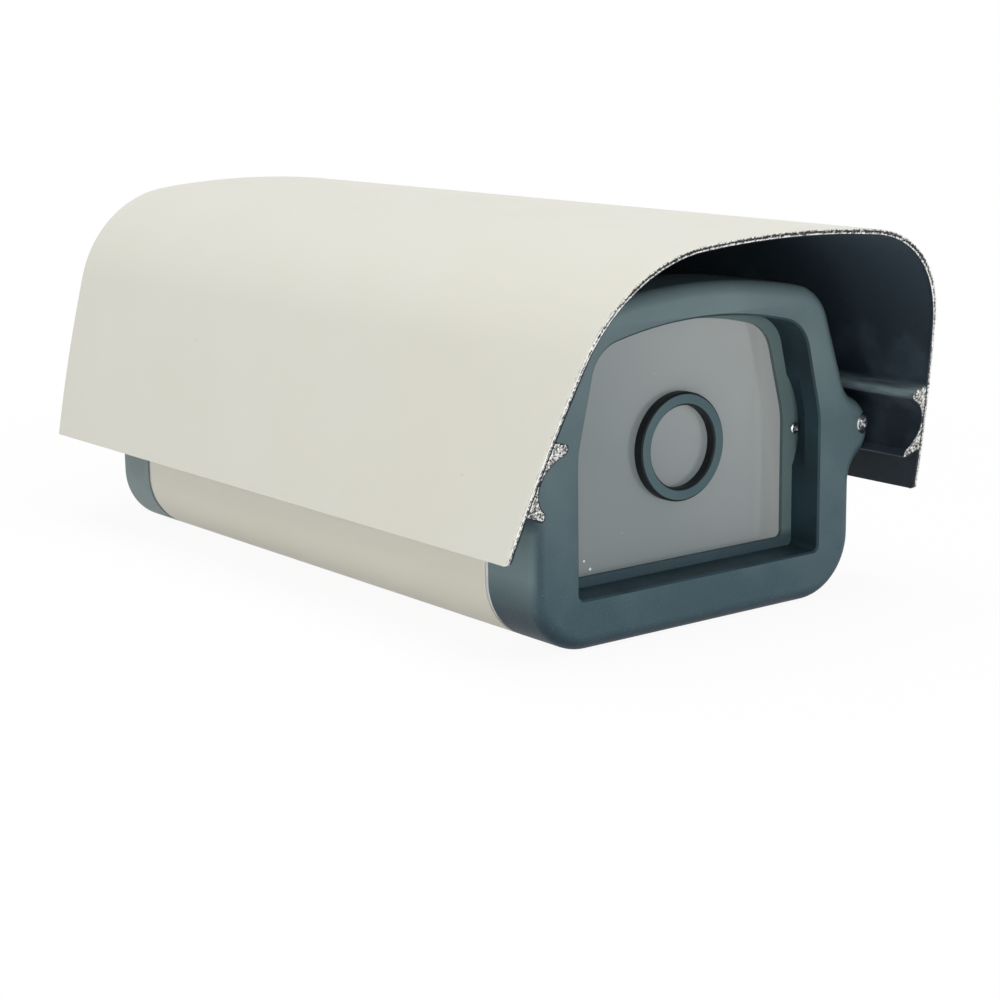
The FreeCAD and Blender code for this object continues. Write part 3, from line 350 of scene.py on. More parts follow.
def sawn_metal():
    """Bare aluminium as a coarse saw leaves it: painted highlights along both edges of the wall,
    darker metal between them and at the crown, and a ragged dark rim in the lining's colour."""
    shader = Shader("sawn_metal")
    grains = shader.noise(0.0006, detail=4.0, roughness=0.72)
    across = shader.node("ShaderNodeAttribute", attribute_name="across").outputs["Fac"]
    off_middle = shader.math("ABSOLUTE", shader.math("SUBTRACT", across, DULL_LINE))
    # Painted highlight along both edges of the wall
    edge_highlight = shader.range(off_middle, -0.07, 0.12, 0.08, 0.34)
    # The cut darkens towards the crown
    crown_dimming = shader.range(shader.z, 0.08, -0.045, *CUT_DARKER_FROM)
    bright = shader.math("ADD", grains, shader.math("ADD", edge_highlight, crown_dimming))
    ramp = shader.node("ShaderNodeValToRGB", {"Fac": bright})
    stops = ramp.color_ramp.elements
    while len(stops) < len(SAWN_TONES):
        stops.new(1.0)
    for stop, (place, tone) in zip(stops, SAWN_TONES):
        stop.position = place
        stop.color = tone
    shader.base = ramp.outputs["Color"]
    ragged = shader.math("ADD", across, shader.times(grains, RIM_RAGGED))
    rim = shader.range(shader.z, *RIM_SHARES, *RIM_FROM)
    shader.tint(shader.math("LESS_THAN", ragged, rim), HOOD_DARK)
    torn = shader.bump(shader.noise(0.0006, stretch=(1, 1, 0.15)), 0.00025, 0.8)
    torn = shader.bump(grains, 0.0003, 0.9, torn)
    shader.finish(Roughness=shader.range(grains, 0.55, 0.30), Normal=torn, Metallic=0.6)


def dark_inside():
    """Thin dark paint inside the sunshield, dusty, with painted light paler towards the top and
    the left, and a painted highlight on the upper lips.
    """
    shader = Shader("shield_inside", HOOD_DARK)
    # Painted light: the lining pales towards the top of the hood and towards the left; the
    # clouds are uneven wear
    high = shader.times(shader.range(shader.z, 0.0, 0.8, *LINING_LIGHT_LEVELS),
                        shader.range(shader.x, 1.25, 0.45, -0.03, 0.05))
    clouds = shader.range(shader.noise(0.018, detail=4.0), 0.0, 0.5, 0.50, 0.75)
    shader.tint(shader.math("MAXIMUM", high, clouds), HOOD_WORN_AND_LIT)
    # Painted highlight in streaks along the top of the upper lips
    streaks = shader.noise(0.0012, stretch=(1, 0.1, 1))
    lip_highlight_share = shader.times(shader.range(shader.z, 0.0, 1.0, *LIP_HIGHLIGHT_FROM),
                          shader.range(shader.z, 1.0, 0.0, *LIP_HIGHLIGHT_TO),
                          shader.range(shader.math("ABSOLUTE", shader.x), 1.0, 0.0, *LIP_HIGHLIGHT_OUT),
                          shader.range(streaks, 0.4, 1.0, 0.35, 0.65))
    shader.tint(lip_highlight_share, LIP_HIGHLIGHT)
    shader.speckle(0.0009, 0.4, 0.76, 0.84, HOOD_DUST)
    lines = shader.noise(0.0016, detail=2.0, stretch=(1, 0.04, 1))
    shader.finish(Roughness=shader.range(shader.noise(0.007), 0.50, 0.64),
                  Normal=shader.bump(lines, 0.00003, 0.5))


def metal(name, main, dull, rough, grain=(1, 1, 1)):
    """Plated or brushed steel with faint streaks along its grain."""
    shader = Shader(name, main)
    streaks = shader.noise(0.0012, stretch=grain)
    shader.tint(shader.range(streaks, 0.0, 1.0, 0.35, 0.70), dull)
    shader.finish(Roughness=shader.range(shader.noise(0.004), *rough),
                  Normal=shader.bump(streaks, 0.00001, 0.4), Metallic=1.0)


def soft_rubber(name, main, deep, sheer=0.0):
    """Rubber or silicone with a faint bloom and a fine moulded skin."""
    shader = Shader(name, main)
    bloom = shader.noise(0.008)
    shader.tint(shader.range(bloom, 0.0, 1.0, 0.4, 0.6), deep)
    shader.finish(Roughness=shader.range(bloom, 0.45, 0.6),
                  Normal=shader.bump(shader.noise(0.0007), 0.00002, 0.4),
                  Subsurface_Weight=sheer, Subsurface_Scale=0.002)


def pane():
    """Grey-filmed window glass: a milky body with uneven haze and dust, painted light making it
    paler towards the upper right, and a painted highlight along its right edge.
    """
    shader = Shader("window_glass", GLASS_GREY)
    # Painted light: paler towards the upper right; painted highlight along the right edge; the
    # haze is the film's own
    corner = shader.range(shader.math("ADD", shader.x, shader.z), 0.0, 1.0, 0.022, 0.115)
    haze = shader.range(shader.noise(0.030), -0.12, 0.12)
    edge = shader.range(shader.x, 0.0, 0.6, *GLASS_EDGE_HIGHLIGHT)
    paler = shader.math("ADD", shader.math("ADD", corner, haze), edge)
    shader.tint(paler, GLASS_HAZE_AND_LIGHT)
    shader.speckle(0.0013, 0.5, 0.84, 0.88, GLASS_DUST, detail=0.5)
    for place, radius in GLASS_SPECKS:
        away = shader.node("ShaderNodeVectorMath", {0: shader.place, 1: place},
                           operation="DISTANCE")
        shader.tint(shader.math("LESS_THAN", away.outputs["Value"], radius), GLASS_SPECK)
    shader.finish(Roughness=shader.range(shader.noise(0.025, detail=2.0), 0.26, 0.32), IOR=1.45,
                  Transmission_Weight=0.10, Coat_Weight=0.6, Coat_Roughness=0.02)


paint("shield_paint", CREAM, CREAM_WARM, worn_edge=True)
dark_inside()
sawn_metal()
paint("body_paint", BODY_CREAM, BODY_CREAM_WARM)
# On the cap the rise to the paler tone is painted light, the foot tone painted shade and the
# flank tone painted side light
moulded_plastic("cap_plastic", CAP_BLUE, CAP_BLUE_PATCHY_AND_LIT, CAP_RUBBED, rise=(0.010, 0.089),
                foot=CAP_BLUE_SHADE, painted_side_light=CAP_BLUE_SIDE_LIGHT)
moulded_plastic("weathered_cap", CAP_WEATHERED, CAP_WEATHERED_DEEP, CAP_WEATHERED)
# Painted shade: a dark finish for each cap's edge beside its gasket and for the gaskets' tops
# under the shield
moulded_plastic("cap_rim", DARK_RIM_SHADE, DARK_RIM_SHADE, CAP_BLUE)
# Painted shade: the recess walls take a darker copy of the cap plastic
moulded_plastic("recess_plastic", RECESS_SHADE_BLUE, RECESS_SHADE_DEEP, RECESS_RUBBED_IN_SHADE)
# Painted light: the flange takes a paler copy of the cap plastic, darker along its bottom
moulded_plastic("flange_plastic", FLANGE_LOW, FLANGE_LIT, FLANGE_RUBBED,
                rise=(0.0160, 0.0185))
moulded_plastic("ring_plastic", RING_BLUE, RING_BLUE_DEEP, RING_RUBBED, 0.0004, (0.40, 0.50))
# Painted shade on the ring's walls and bevels
moulded_plastic("ring_wall", RING_WALL_DARK_SHADE, RING_WALL_DARK_SHADE, RING_BLUE, 0.0004)
soft_rubber("gasket_rubber", colour(236, 233, 236), colour(222, 219, 223), sheer=0.3)
soft_rubber("weathered_gasket", colour(208, 207, 208), colour(192, 191, 194), sheer=0.3)
soft_rubber("seal_rubber", colour(38, 39, 40), colour(28, 29, 30))
pane()
metal("screw_steel", colour(236, 238, 239), colour(196, 198, 200), (0.14, 0.24))
metal("tray_steel", colour(186, 190, 192), colour(164, 168, 171), (0.32, 0.46), (1, 0.05, 1))
moulded_plastic("seat_plastic", colour(42, 43, 45), colour(32, 33, 35), colour(70, 71, 74))
moulded_plastic("gland_plastic", colour(88, 91, 94), colour(76, 79, 82), colour(118, 121, 124),
                0.0005, (0.38, 0.52))


# Mesh helpers

SHARP_ANGLE = math.radians(35)
FLAT_ANGLE = math.radians(0.7)
SAME_PLACE = 2e-6
EDGE_SEGMENTS = 2
FLAT_WEIGHT = 60


def new_piece(name, mesh):
    piece = bpy.data.objects.new(name, mesh)
    SCENE.collection.objects.link(piece)
    return piece


def bake_modifiers(piece):
    """Turns a piece and its modifiers into one plain mesh."""
    bpy.context.view_layer.update()
    graph = bpy.context.evaluated_depsgraph_get()
    mesh = bpy.data.meshes.new_from_object(piece.evaluated_get(graph))
    piece.modifiers.clear()
    piece.data = mesh


def soften(piece, width):
    """Breaks the sharp edges by a small round and evens the shading of the flats."""
    bevel = piece.modifiers.new("broken_edges", "BEVEL")
    bevel.width = width
    bevel.segments = EDGE_SEGMENTS
    bevel.limit_method = "ANGLE"
    bevel.angle_limit = SHARP_ANGLE
    bevel.use_clamp_overlap = True
    even = piece.modifiers.new("even_shading", "WEIGHTED_NORMAL")
    even.keep_sharp = True
    even.weight = FLAT_WEIGHT
    bake_modifiers(piece)


def dress(piece, body, slot, *nodes):
    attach(piece, body)
    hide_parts(*nodes)
    return piece


def merged_copy(node, material, edge):
    """A copy of a node with its triangles merged, its edges broken and smooth shading."""
    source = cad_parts[node]
    shape = bmesh.new()
    shape.from_mesh(source.data)
    bmesh.ops.remove_doubles(shape, verts=shape.verts, dist=SAME_PLACE)
    bmesh.ops.dissolve_limit(shape, angle_limit=FLAT_ANGLE, verts=shape.verts,
                             edges=shape.edges)
    for face in shape.faces:
        face.smooth = True
        face.material_index = 0
    for seam in shape.edges:
        seam.smooth = not (seam.is_manifold and seam.calc_face_angle(0.0) > SHARP_ANGLE)
    mesh = bpy.data.meshes.new(f"{node}_shell")
    shape.to_mesh(mesh)
    shape.free()
    mesh.materials.append(MATERIALS[material])
    piece = new_piece(f"{node}_shell", mesh)
    if edge:
        soften(piece, edge)
    return piece


# Trees that make the sunshield and the screws

MERGE_DISTANCE = 1e-6


class Rule(Nodes):
    """A Geometry Nodes tree with named inputs, written node by node."""

    KINDS = {float: "NodeSocketFloat", bpy.types.Material: "NodeSocketMaterial"}

    def __init__(self, name, **values):
        super().__init__(bpy.data.node_groups.new(name, "GeometryNodeTree"))
        self.tree.is_modifier = True
        self.values = values
        for way in ("OUTPUT", "INPUT"):
            self.tree.interface.new_socket("Geometry", in_out=way,
                                           socket_type="NodeSocketGeometry")
        self.names = {}
        for title, value in values.items():
            socket = self.tree.interface.new_socket(title, in_out="INPUT",
                                                    socket_type=self.KINDS[type(value)])
            self.names[title] = socket.identifier
        self.given = self.node("NodeGroupInput").outputs
        self.exit = self.node("NodeGroupOutput")

    def vector(self, x=0.0, y=0.0, z=0.0):
        return self.node("ShaderNodeCombineXYZ", {0: x, 1: y, 2: z}).outputs[0]

    def position(self):
        return self.split(self.node("GeometryNodeInputPosition").outputs[0])

    def attribute(self, name, data_type="FLOAT"):
        return self.node("GeometryNodeInputNamedAttribute", {"Name": name},
                         data_type=data_type).outputs[0]

    def above(self, value, limit):
        return self.node("FunctionNodeCompare", {0: value, 1: limit},
                         operation="GREATER_THAN").outputs[0]

    def change(self, kind, geometry, inputs=None, **settings):
        """Leads the geometry through a node of the kind."""
        return self.node(f"GeometryNode{kind}", {0: geometry, **(inputs or {})},
                         **settings).outputs[0]

    def lifted(self, geometry, height):
        return self.change("Transform", geometry, {"Translation": self.vector(z=height)})

    def gathered(self, kind, socket, *parts, **settings):
        """Leads several geometries into one socket of a node of the kind."""
        made = self.node(f"GeometryNode{kind}", **settings)
        for part in parts:
            self.tree.links.new(part, made.inputs[socket])
        return made.outputs[0]

    def finish(self, geometry, material=None):
        """Turns instances real and gives the result its material."""
        real = self.change("RealizeInstances", geometry)
        if material is not None:
            real = self.change("SetMaterial", real, {"Material": material})
        self.tree.links.new(real, self.exit.inputs["Geometry"])

    def shape(self, piece):
        """Runs the tree on a piece and keeps the result as its plain mesh."""
        modifier = piece.modifiers.new(self.tree.name, "NODES")
        modifier.node_group = self.tree
        for title, value in self.values.items():
            modifier[self.names[title]] = value
        bake_modifiers(piece)


# Sunshield

SHIELD_HALF_WIDTH = SHIELD_WIDTH / MM / 2
SHIELD_WALL = 1.4
SIDE_SLOPE = 0.2782
SIDE_BOW = 0.61
SHOULDER_RADIUS = 35.2
SHOULDER_INSET = 45.04
CROWN_RADIUS = 275.0
RAIL_ACROSS = 56.2
RAIL_LEVEL = 47.0
CHANNEL_RADIUS = 8.1
HOOK_ROOT_RISE = 11.5
HOOK_FOOT_DROP = 7.1
LIP_EASE = 1.1
LIP_EASE_SHARE = 0.45
EASE_STEPS = 4
SPACING = 0.6
SHIELD_REAR = 0.1156
SHIELD_LENGTH = 0.2314
FOOT_RADIUS = 0.0012
FOOT_SHARE = 0.98
FOOT_FADE = 0.010

# Ends of the round channel above and below the rail, as shares of its radius
CHANNEL_UPPER_END = 0.92
CHANNEL_LOWER_END = 0.79

# Corners of each lip, outwards from the rail's middle and upwards from the foot or the root
LOWER_LIP = ((5.6, -1.9), (4.5, -1.3))
UPPER_LIP = ((1.7, -2.9), (2.0, -0.9))

# Rows of points behind the cut, as shares of the length
SHIELD_STATIONS = (0.94, 0.97, 0.985, 0.9935, 0.9965, 0.9985)

# Saw cut
CUT_ROWS = (1 / 3, 2 / 3)
CUT_SPACING = 0.5
CUT_DEPTH = 0.0003
CUT_GRAIN = 0.0009
CUT_FADE = 0.0008
CUT_SEED = 4.0
CUT_DETAIL = 3.0
CUT_ROUGHNESS = 0.7
CUT_FACING = 0.6
SIDE_TEAR = -0.5
LINING_FROM = 0.4

# Part of the section that holds the right lips: its inner side, bottom and top
HOOK_REGION = (52.0, 36.0, 60.0)

# First point of a row inside the lips, as a share of the spacing
FILL_START = 0.8

# The triangulation joins points that lie this close, and gives only what is inside the outline
SECTION_NEARNESS = 1e-5
ONLY_INSIDE = 1


def arc_between(start, end, rise, spacing=SPACING):
    """Points of an arc from start to end that rises to the left of the way between them."""
    chord = end - start
    length = chord.length
    left = Vector((-chord.y, chord.x)) / length
    radius = (length * length / 4 + rise * rise) / (2 * rise)
    centre = (start + end) / 2 + left * (rise - radius)
    sweep = 2 * math.asin(max(-1.0, min(1.0, length / 2 / radius)))
    count = max(2, math.ceil(abs(sweep * radius) / spacing))
    spoke = start - centre
    points = []
    for step in range(count):
        angle = -sweep * step / count
        points.append(centre + Vector((
            spoke.x * math.cos(angle) - spoke.y * math.sin(angle),
            spoke.x * math.sin(angle) + spoke.y * math.cos(angle))))
    return points


def line_between(start, end, spacing=SPACING):
    count = max(1, math.ceil((end - start).length / spacing))
    return [start.lerp(end, step / count) for step in range(count)]


def rise_of(radius, start, end):
    return radius - math.sqrt(radius ** 2 - (end - start).length_squared / 4)


def mirrored(points):
    return [Vector((-point.x, point.y)) for point in points]


def shield_corners(inset):
    """Bottom corner, end of the side and end of the crown, for the right side at an inset."""
    slope_length = math.hypot(SIDE_SLOPE, 1.0)
    across = SHIELD_HALF_WIDTH - SHOULDER_INSET
    to_shoulder = CROWN_RADIUS - SHOULDER_RADIUS
    centre_rise = math.sqrt(to_shoulder ** 2 - across ** 2)
    level = SHIELD_TOP / MM - CROWN_RADIUS + centre_rise
    radius = SHOULDER_RADIUS - inset
    side_end = Vector((across + radius / slope_length,
                       level + radius * SIDE_SLOPE / slope_length))
    crown_end = Vector((across + radius * across / to_shoulder,
                        level + radius * centre_rise / to_shoulder))
    bottom = Vector((SHIELD_HALF_WIDTH - slope_length * inset, SHIELD_BOTTOM / MM))
    return bottom, side_end, crown_end


def shield_runs(inset, spacing=SPACING):
    """Right side wall at an inset, and its shoulder and crown up to the middle."""
    bottom, side_end, crown_end = shield_corners(inset)
    middle = Vector((0.0, SHIELD_TOP / MM - inset))
    wall = arc_between(bottom, side_end, -SIDE_BOW, spacing)
    shoulder = arc_between(side_end, crown_end,
                           -rise_of(SHOULDER_RADIUS - inset, side_end, crown_end), spacing)
    crown = arc_between(crown_end, middle,
                        -rise_of(CROWN_RADIUS - inset, crown_end, middle), spacing)
    return wall, shoulder + crown + [middle]


def on_inner_wall(level):
    """The point of the side wall's inner face at a level."""
    bottom, side_end, _ = shield_corners(SHIELD_WALL)
    share = (level - bottom.y) / (side_end.y - bottom.y)
    across = bottom.x + (side_end.x - bottom.x) * share + 4 * SIDE_BOW * share * (1 - share)
    return Vector((across, level))


def eased(corners):
    """An open outline through the corners, each inner one rounded over LIP_EASE each way."""
    points = [corners[0]]
    for before, corner, after in zip(corners, corners[1:], corners[2:]):
        start, end = (
            corner.lerp(other, min(LIP_EASE_SHARE, LIP_EASE / (other - corner).length))
            for other in (before, after))
        for step in range(EASE_STEPS + 1):
            share = step / EASE_STEPS
            points.append(start.lerp(corner, share).lerp(corner.lerp(end, share), share))
    points.append(corners[-1])
    dense = [point for start, end in zip(points, points[1:])
             for point in line_between(start, end, CUT_SPACING)]
    return dense + [points[-1]]


def channel_end(reach):
    """The point of the round channel at a height above the rail's middle."""
    across = RAIL_ACROSS + math.sqrt(CHANNEL_RADIUS ** 2 - reach ** 2)
    return Vector((across, RAIL_LEVEL + reach))


def hook_points():
    """The lips that hold the rail, from the foot up to the top, with rounded corners."""
    upper_start = channel_end(CHANNEL_RADIUS * CHANNEL_UPPER_END)
    lower_end = channel_end(-CHANNEL_RADIUS * CHANNEL_LOWER_END)
    foot = RAIL_LEVEL - HOOK_FOOT_DROP
    root = RAIL_LEVEL + HOOK_ROOT_RISE
    lower_lip = [on_inner_wall(foot - LIP_EASE), on_inner_wall(foot)]
    lower_lip += [Vector((RAIL_ACROSS + out, foot + up)) for out, up in LOWER_LIP]
    upper_lip = [Vector((RAIL_ACROSS + out, root + up)) for out, up in UPPER_LIP]
    upper_lip += [on_inner_wall(root), on_inner_wall(root + LIP_EASE)]
    channel_rise = -rise_of(CHANNEL_RADIUS, lower_end, upper_start)
    channel = arc_between(lower_end, upper_start, channel_rise, CUT_SPACING)
    return eased(lower_lip + [lower_end])[:-1] + channel + eased([upper_start] + upper_lip)


def shield_section():
    """Closed loop in millimetres, outside then inside, and how many points lie outside."""
    outer_wall, outer_crown = shield_runs(0.0)
    inner_wall, inner_crown = shield_runs(SHIELD_WALL)
    foot = line_between(shield_corners(SHIELD_WALL)[0], shield_corners(0.0)[0])
    hook = hook_points()
    inside = [point for point in inner_wall if point.y < hook[0].y - SPACING / 2]
    inside += hook
    inside += [point for point in inner_wall if point.y > hook[-1].y + SPACING / 2]
    inside += inner_crown
    right = foot + outer_wall + outer_crown
    outside = right + mirrored(reversed(right[:-1]))
    inner_right = inside[1:-1]
    inner_loop = mirrored(inner_right) + [inside[-1]] + inner_right[::-1]
    return outside + inner_loop, len(outside)


def hook_fill(outline):
    """Points inside both pairs of lips, evenly spaced and clear of their outline."""
    near, low, high = HOOK_REGION
    edges = [(a, b) for a, b in zip(outline, outline[1:] + outline[:1])
             if min(a.x, b.x) > near and max(a.y, b.y) > low and min(a.y, b.y) < high]
    points = []
    for row in range(int((high - low) / CUT_SPACING)):
        level = low + row * CUT_SPACING + CUT_SPACING / 3
        crossings = sorted(a.x + (b.x - a.x) * (level - a.y) / (b.y - a.y) for a, b in edges
                           if (a.y > level) != (b.y > level))
        for left, right in zip(crossings[::2], crossings[1::2]):
            count = max(0, int((right - left - SHIELD_WALL) / CUT_SPACING))
            points += [Vector((left + CUT_SPACING * (step + FILL_START), level))
                       for step in range(count)]
    return points + mirrored(points)


def section_sheet():
    """The shield's section as a flat sheet of small triangles at its rear end.

    Each point knows whether it lies on the lining, and how far across the wall it lies.
    """
    outline, outer_count = shield_section()
    inside = []
    shares = []
    for share in CUT_ROWS:
        wall, crown = shield_runs(SHIELD_WALL * share, CUT_SPACING)
        right = wall[1:] + crown[:-1]
        row = right + [crown[-1]] + mirrored(right)
        inside += row
        shares += [1.0 - share] * len(row)
    inside += hook_fill(outline)
    count = len(outline)
    edges = [(index, (index + 1) % count) for index in range(count)]
    points, _, faces, origins, _, _ = delaunay_2d_cdt(outline + inside, edges, [],
                                                      ONLY_INSIDE, SECTION_NEARNESS)
    mesh = bpy.data.meshes.new("sunshield_section")
    mesh.from_pydata([(p.x * MM, SHIELD_REAR, p.y * MM) for p in points], [], faces)
    lining = mesh.attributes.new("lining", "FLOAT", "POINT")
    across = mesh.attributes.new("across", "FLOAT", "POINT")
    for index, source in enumerate(origins):
        own = min(source) if source else count
        row_place = own - count
        lining.data[index].value = 0.0 if own < outer_count else 1.0
        if own < count:
            across.data[index].value = 1.0 if own < outer_count else 0.0
        else:
            across.data[index].value = shares[row_place] if row_place < len(shares) else 0.5
    shape = bmesh.new()
    shape.from_mesh(mesh)
    for face in shape.faces:
        face.normal_update()
        if face.normal.y < 0:
            face.normal_flip()
    shape.to_mesh(mesh)
    shape.free()
    return mesh


def sunshield_rule():
    """Runs the section forward, rakes its end, rounds the foot and roughens the saw cut."""
    rule = Rule("sunshield_extrusion", Length=SHIELD_LENGTH, Rake=RAKE, Bottom=SHIELD_BOTTOM,
                Height=SHIELD_TOP - SHIELD_BOTTOM, Skew=CUT_SKEW, Width=SHIELD_WIDTH,
                Foot_Radius=FOOT_RADIUS, Cut_Depth=CUT_DEPTH, Cut_Grain=CUT_GRAIN,
                Seed=CUT_SEED, Paint=MATERIALS["shield_paint"],
                Lining=MATERIALS["shield_inside"], Bare=MATERIALS["sawn_metal"])
    given = rule.given
    section = given["Geometry"]
    mesh = rule.change("FlipFaces", section)
    top = True
    done = 0.0
    for station in (*SHIELD_STATIONS, 1.0):
        step = rule.node("GeometryNodeExtrudeMesh",
                         {"Mesh": mesh, "Selection": top, "Offset": (0.0, -1.0, 0.0),
                          "Offset Scale": rule.times(given["Length"], station - done),
                          "Individual": False}, mode="FACES")
        mesh, top = step.outputs["Mesh"], step.outputs["Top"]
        done = station
    whole = rule.gathered("JoinGeometry", "Geometry", section, mesh)
    whole = rule.change("MergeByDistance", whole, {"Distance": MERGE_DISTANCE})

    right, along, up = rule.position()
    run = rule.math("DIVIDE", rule.math("SUBTRACT", SHIELD_REAR, along), given["Length"])
    height = rule.math("SUBTRACT", up, given["Bottom"])
    rake = rule.times(run, rule.math("DIVIDE", height, given["Height"]), given["Rake"])
    across = rule.math("SUBTRACT", 0.5, rule.math("DIVIDE", right, given["Width"]))
    skew = rule.times(run, across, given["Skew"])
    slope = rule.math("DIVIDE", given["Rake"], given["Height"])
    corner = rule.math("MULTIPLY_ADD", rule.math("ARCTANGENT", slope), 0.5, math.pi / 4)
    radius = given["Foot_Radius"]
    reach = rule.math("DIVIDE", radius, rule.math("TANGENT", corner))
    below = rule.math("SUBTRACT", radius, height)
    chord = rule.math("MULTIPLY_ADD", radius, radius, rule.times(below, below, -1.0))
    inner = rule.math("SQRT", rule.math("MAXIMUM", chord, 0.0))
    back = rule.math("SUBTRACT", rule.math("MULTIPLY_ADD", height, slope, reach), inner)
    in_foot = rule.math("LESS_THAN", height, rule.times(reach, FOOT_SHARE))
    depth = rule.times(rule.math("SUBTRACT", 1.0, run), given["Length"])
    back = rule.times(back, in_foot, rule.range(depth, 1.0, 0.0, 0.0, FOOT_FADE))
    shift = rule.vector(y=rule.math("ADD", rule.math("SUBTRACT", back, rake), skew))
    whole = rule.change("StoreNamedAttribute", whole, {"Name": "depth", "Value": depth},
                        data_type="FLOAT", domain="POINT")
    whole = rule.change("SetPosition", whole, {"Offset": shift})

    grain = rule.node("ShaderNodeTexNoise",
                      {"W": given["Seed"], "Detail": CUT_DETAIL, "Roughness": CUT_ROUGHNESS,
                       "Scale": rule.math("DIVIDE", 1.0, given["Cut_Grain"])},
                      noise_dimensions="4D")
    torn = rule.range(rule.attribute("depth"), 1.0, 0.0, 0.0, CUT_FADE)
    lift = rule.times(torn, given["Cut_Depth"])
    sideways, forward, upward = rule.split(grain.outputs["Color"])
    inward = rule.times(rule.math("SIGN", rule.position()[0]), SIDE_TEAR)
    move = rule.vector(rule.times(sideways, lift, inward), rule.times(forward, lift),
                       rule.times(upward, lift, SIDE_TEAR))
    whole = rule.change("SetPosition", whole, {"Offset": move})

    facing = rule.split(rule.node("GeometryNodeInputNormal").outputs[0])
    cut = rule.above(rule.math("ABSOLUTE", facing[1]), CUT_FACING)
    lining = rule.above(rule.attribute("lining"), LINING_FROM)
    for chosen, finish in ((True, "Paint"), (lining, "Lining"), (cut, "Bare")):
        whole = rule.change("SetMaterial", whole,
                            {"Selection": chosen, "Material": given[finish]})
    bend = rule.node("GeometryNodeInputMeshEdgeAngle").outputs[0]
    whole = rule.change("SetShadeSmooth", whole, {"Shade Smooth": True}, domain="FACE")
    whole = rule.change("SetShadeSmooth", whole,
                        {"Selection": rule.above(bend, SHARP_ANGLE), "Shade Smooth": False},
                        domain="EDGE")
    rule.finish(whole)
    return rule


def make_sunshield():
    piece = new_piece("sunshield_extrusion", section_sheet())
    sunshield_rule().shape(piece)
    dress(piece, "shield", "shield_paint", "sunshield")


# Screws

HEAD_TURNS = 40
HEAD_RINGS = 12
HEAD_SHARE = 0.85
HEAD_SQUARE = 0.55
SHANK_SIDES = 24
SHANK_OVERLAP = 0.0001
CROSS_REACH = 1.1
CROSS_SHARE = 0.27
CROSS_DEPTH_SHARE = 1.05
PIT_SIDES = 16
SCREW_SEED = 5
SCREW_SHARP_ANGLE = math.radians(40)

# The cross's round pit: its radii as shares of the arm, its depth and drop of the cross's depth
PIT_MOUTH = 0.32
PIT_FLOOR = 0.12
PIT_DEPTH = 0.75
PIT_DROP = 0.62

# Head radius, head height and shank radius in millimetres
CAP_SCREW = (2.6, 1.9, 1.5)
GLASS_SCREW = (1.6, 1.0, 1.0)
SCREWS = {"front_cap_screws": CAP_SCREW, "rear_cap_screws": CAP_SCREW,
          "glass_screws": GLASS_SCREW, "tray_screws": CAP_SCREW}


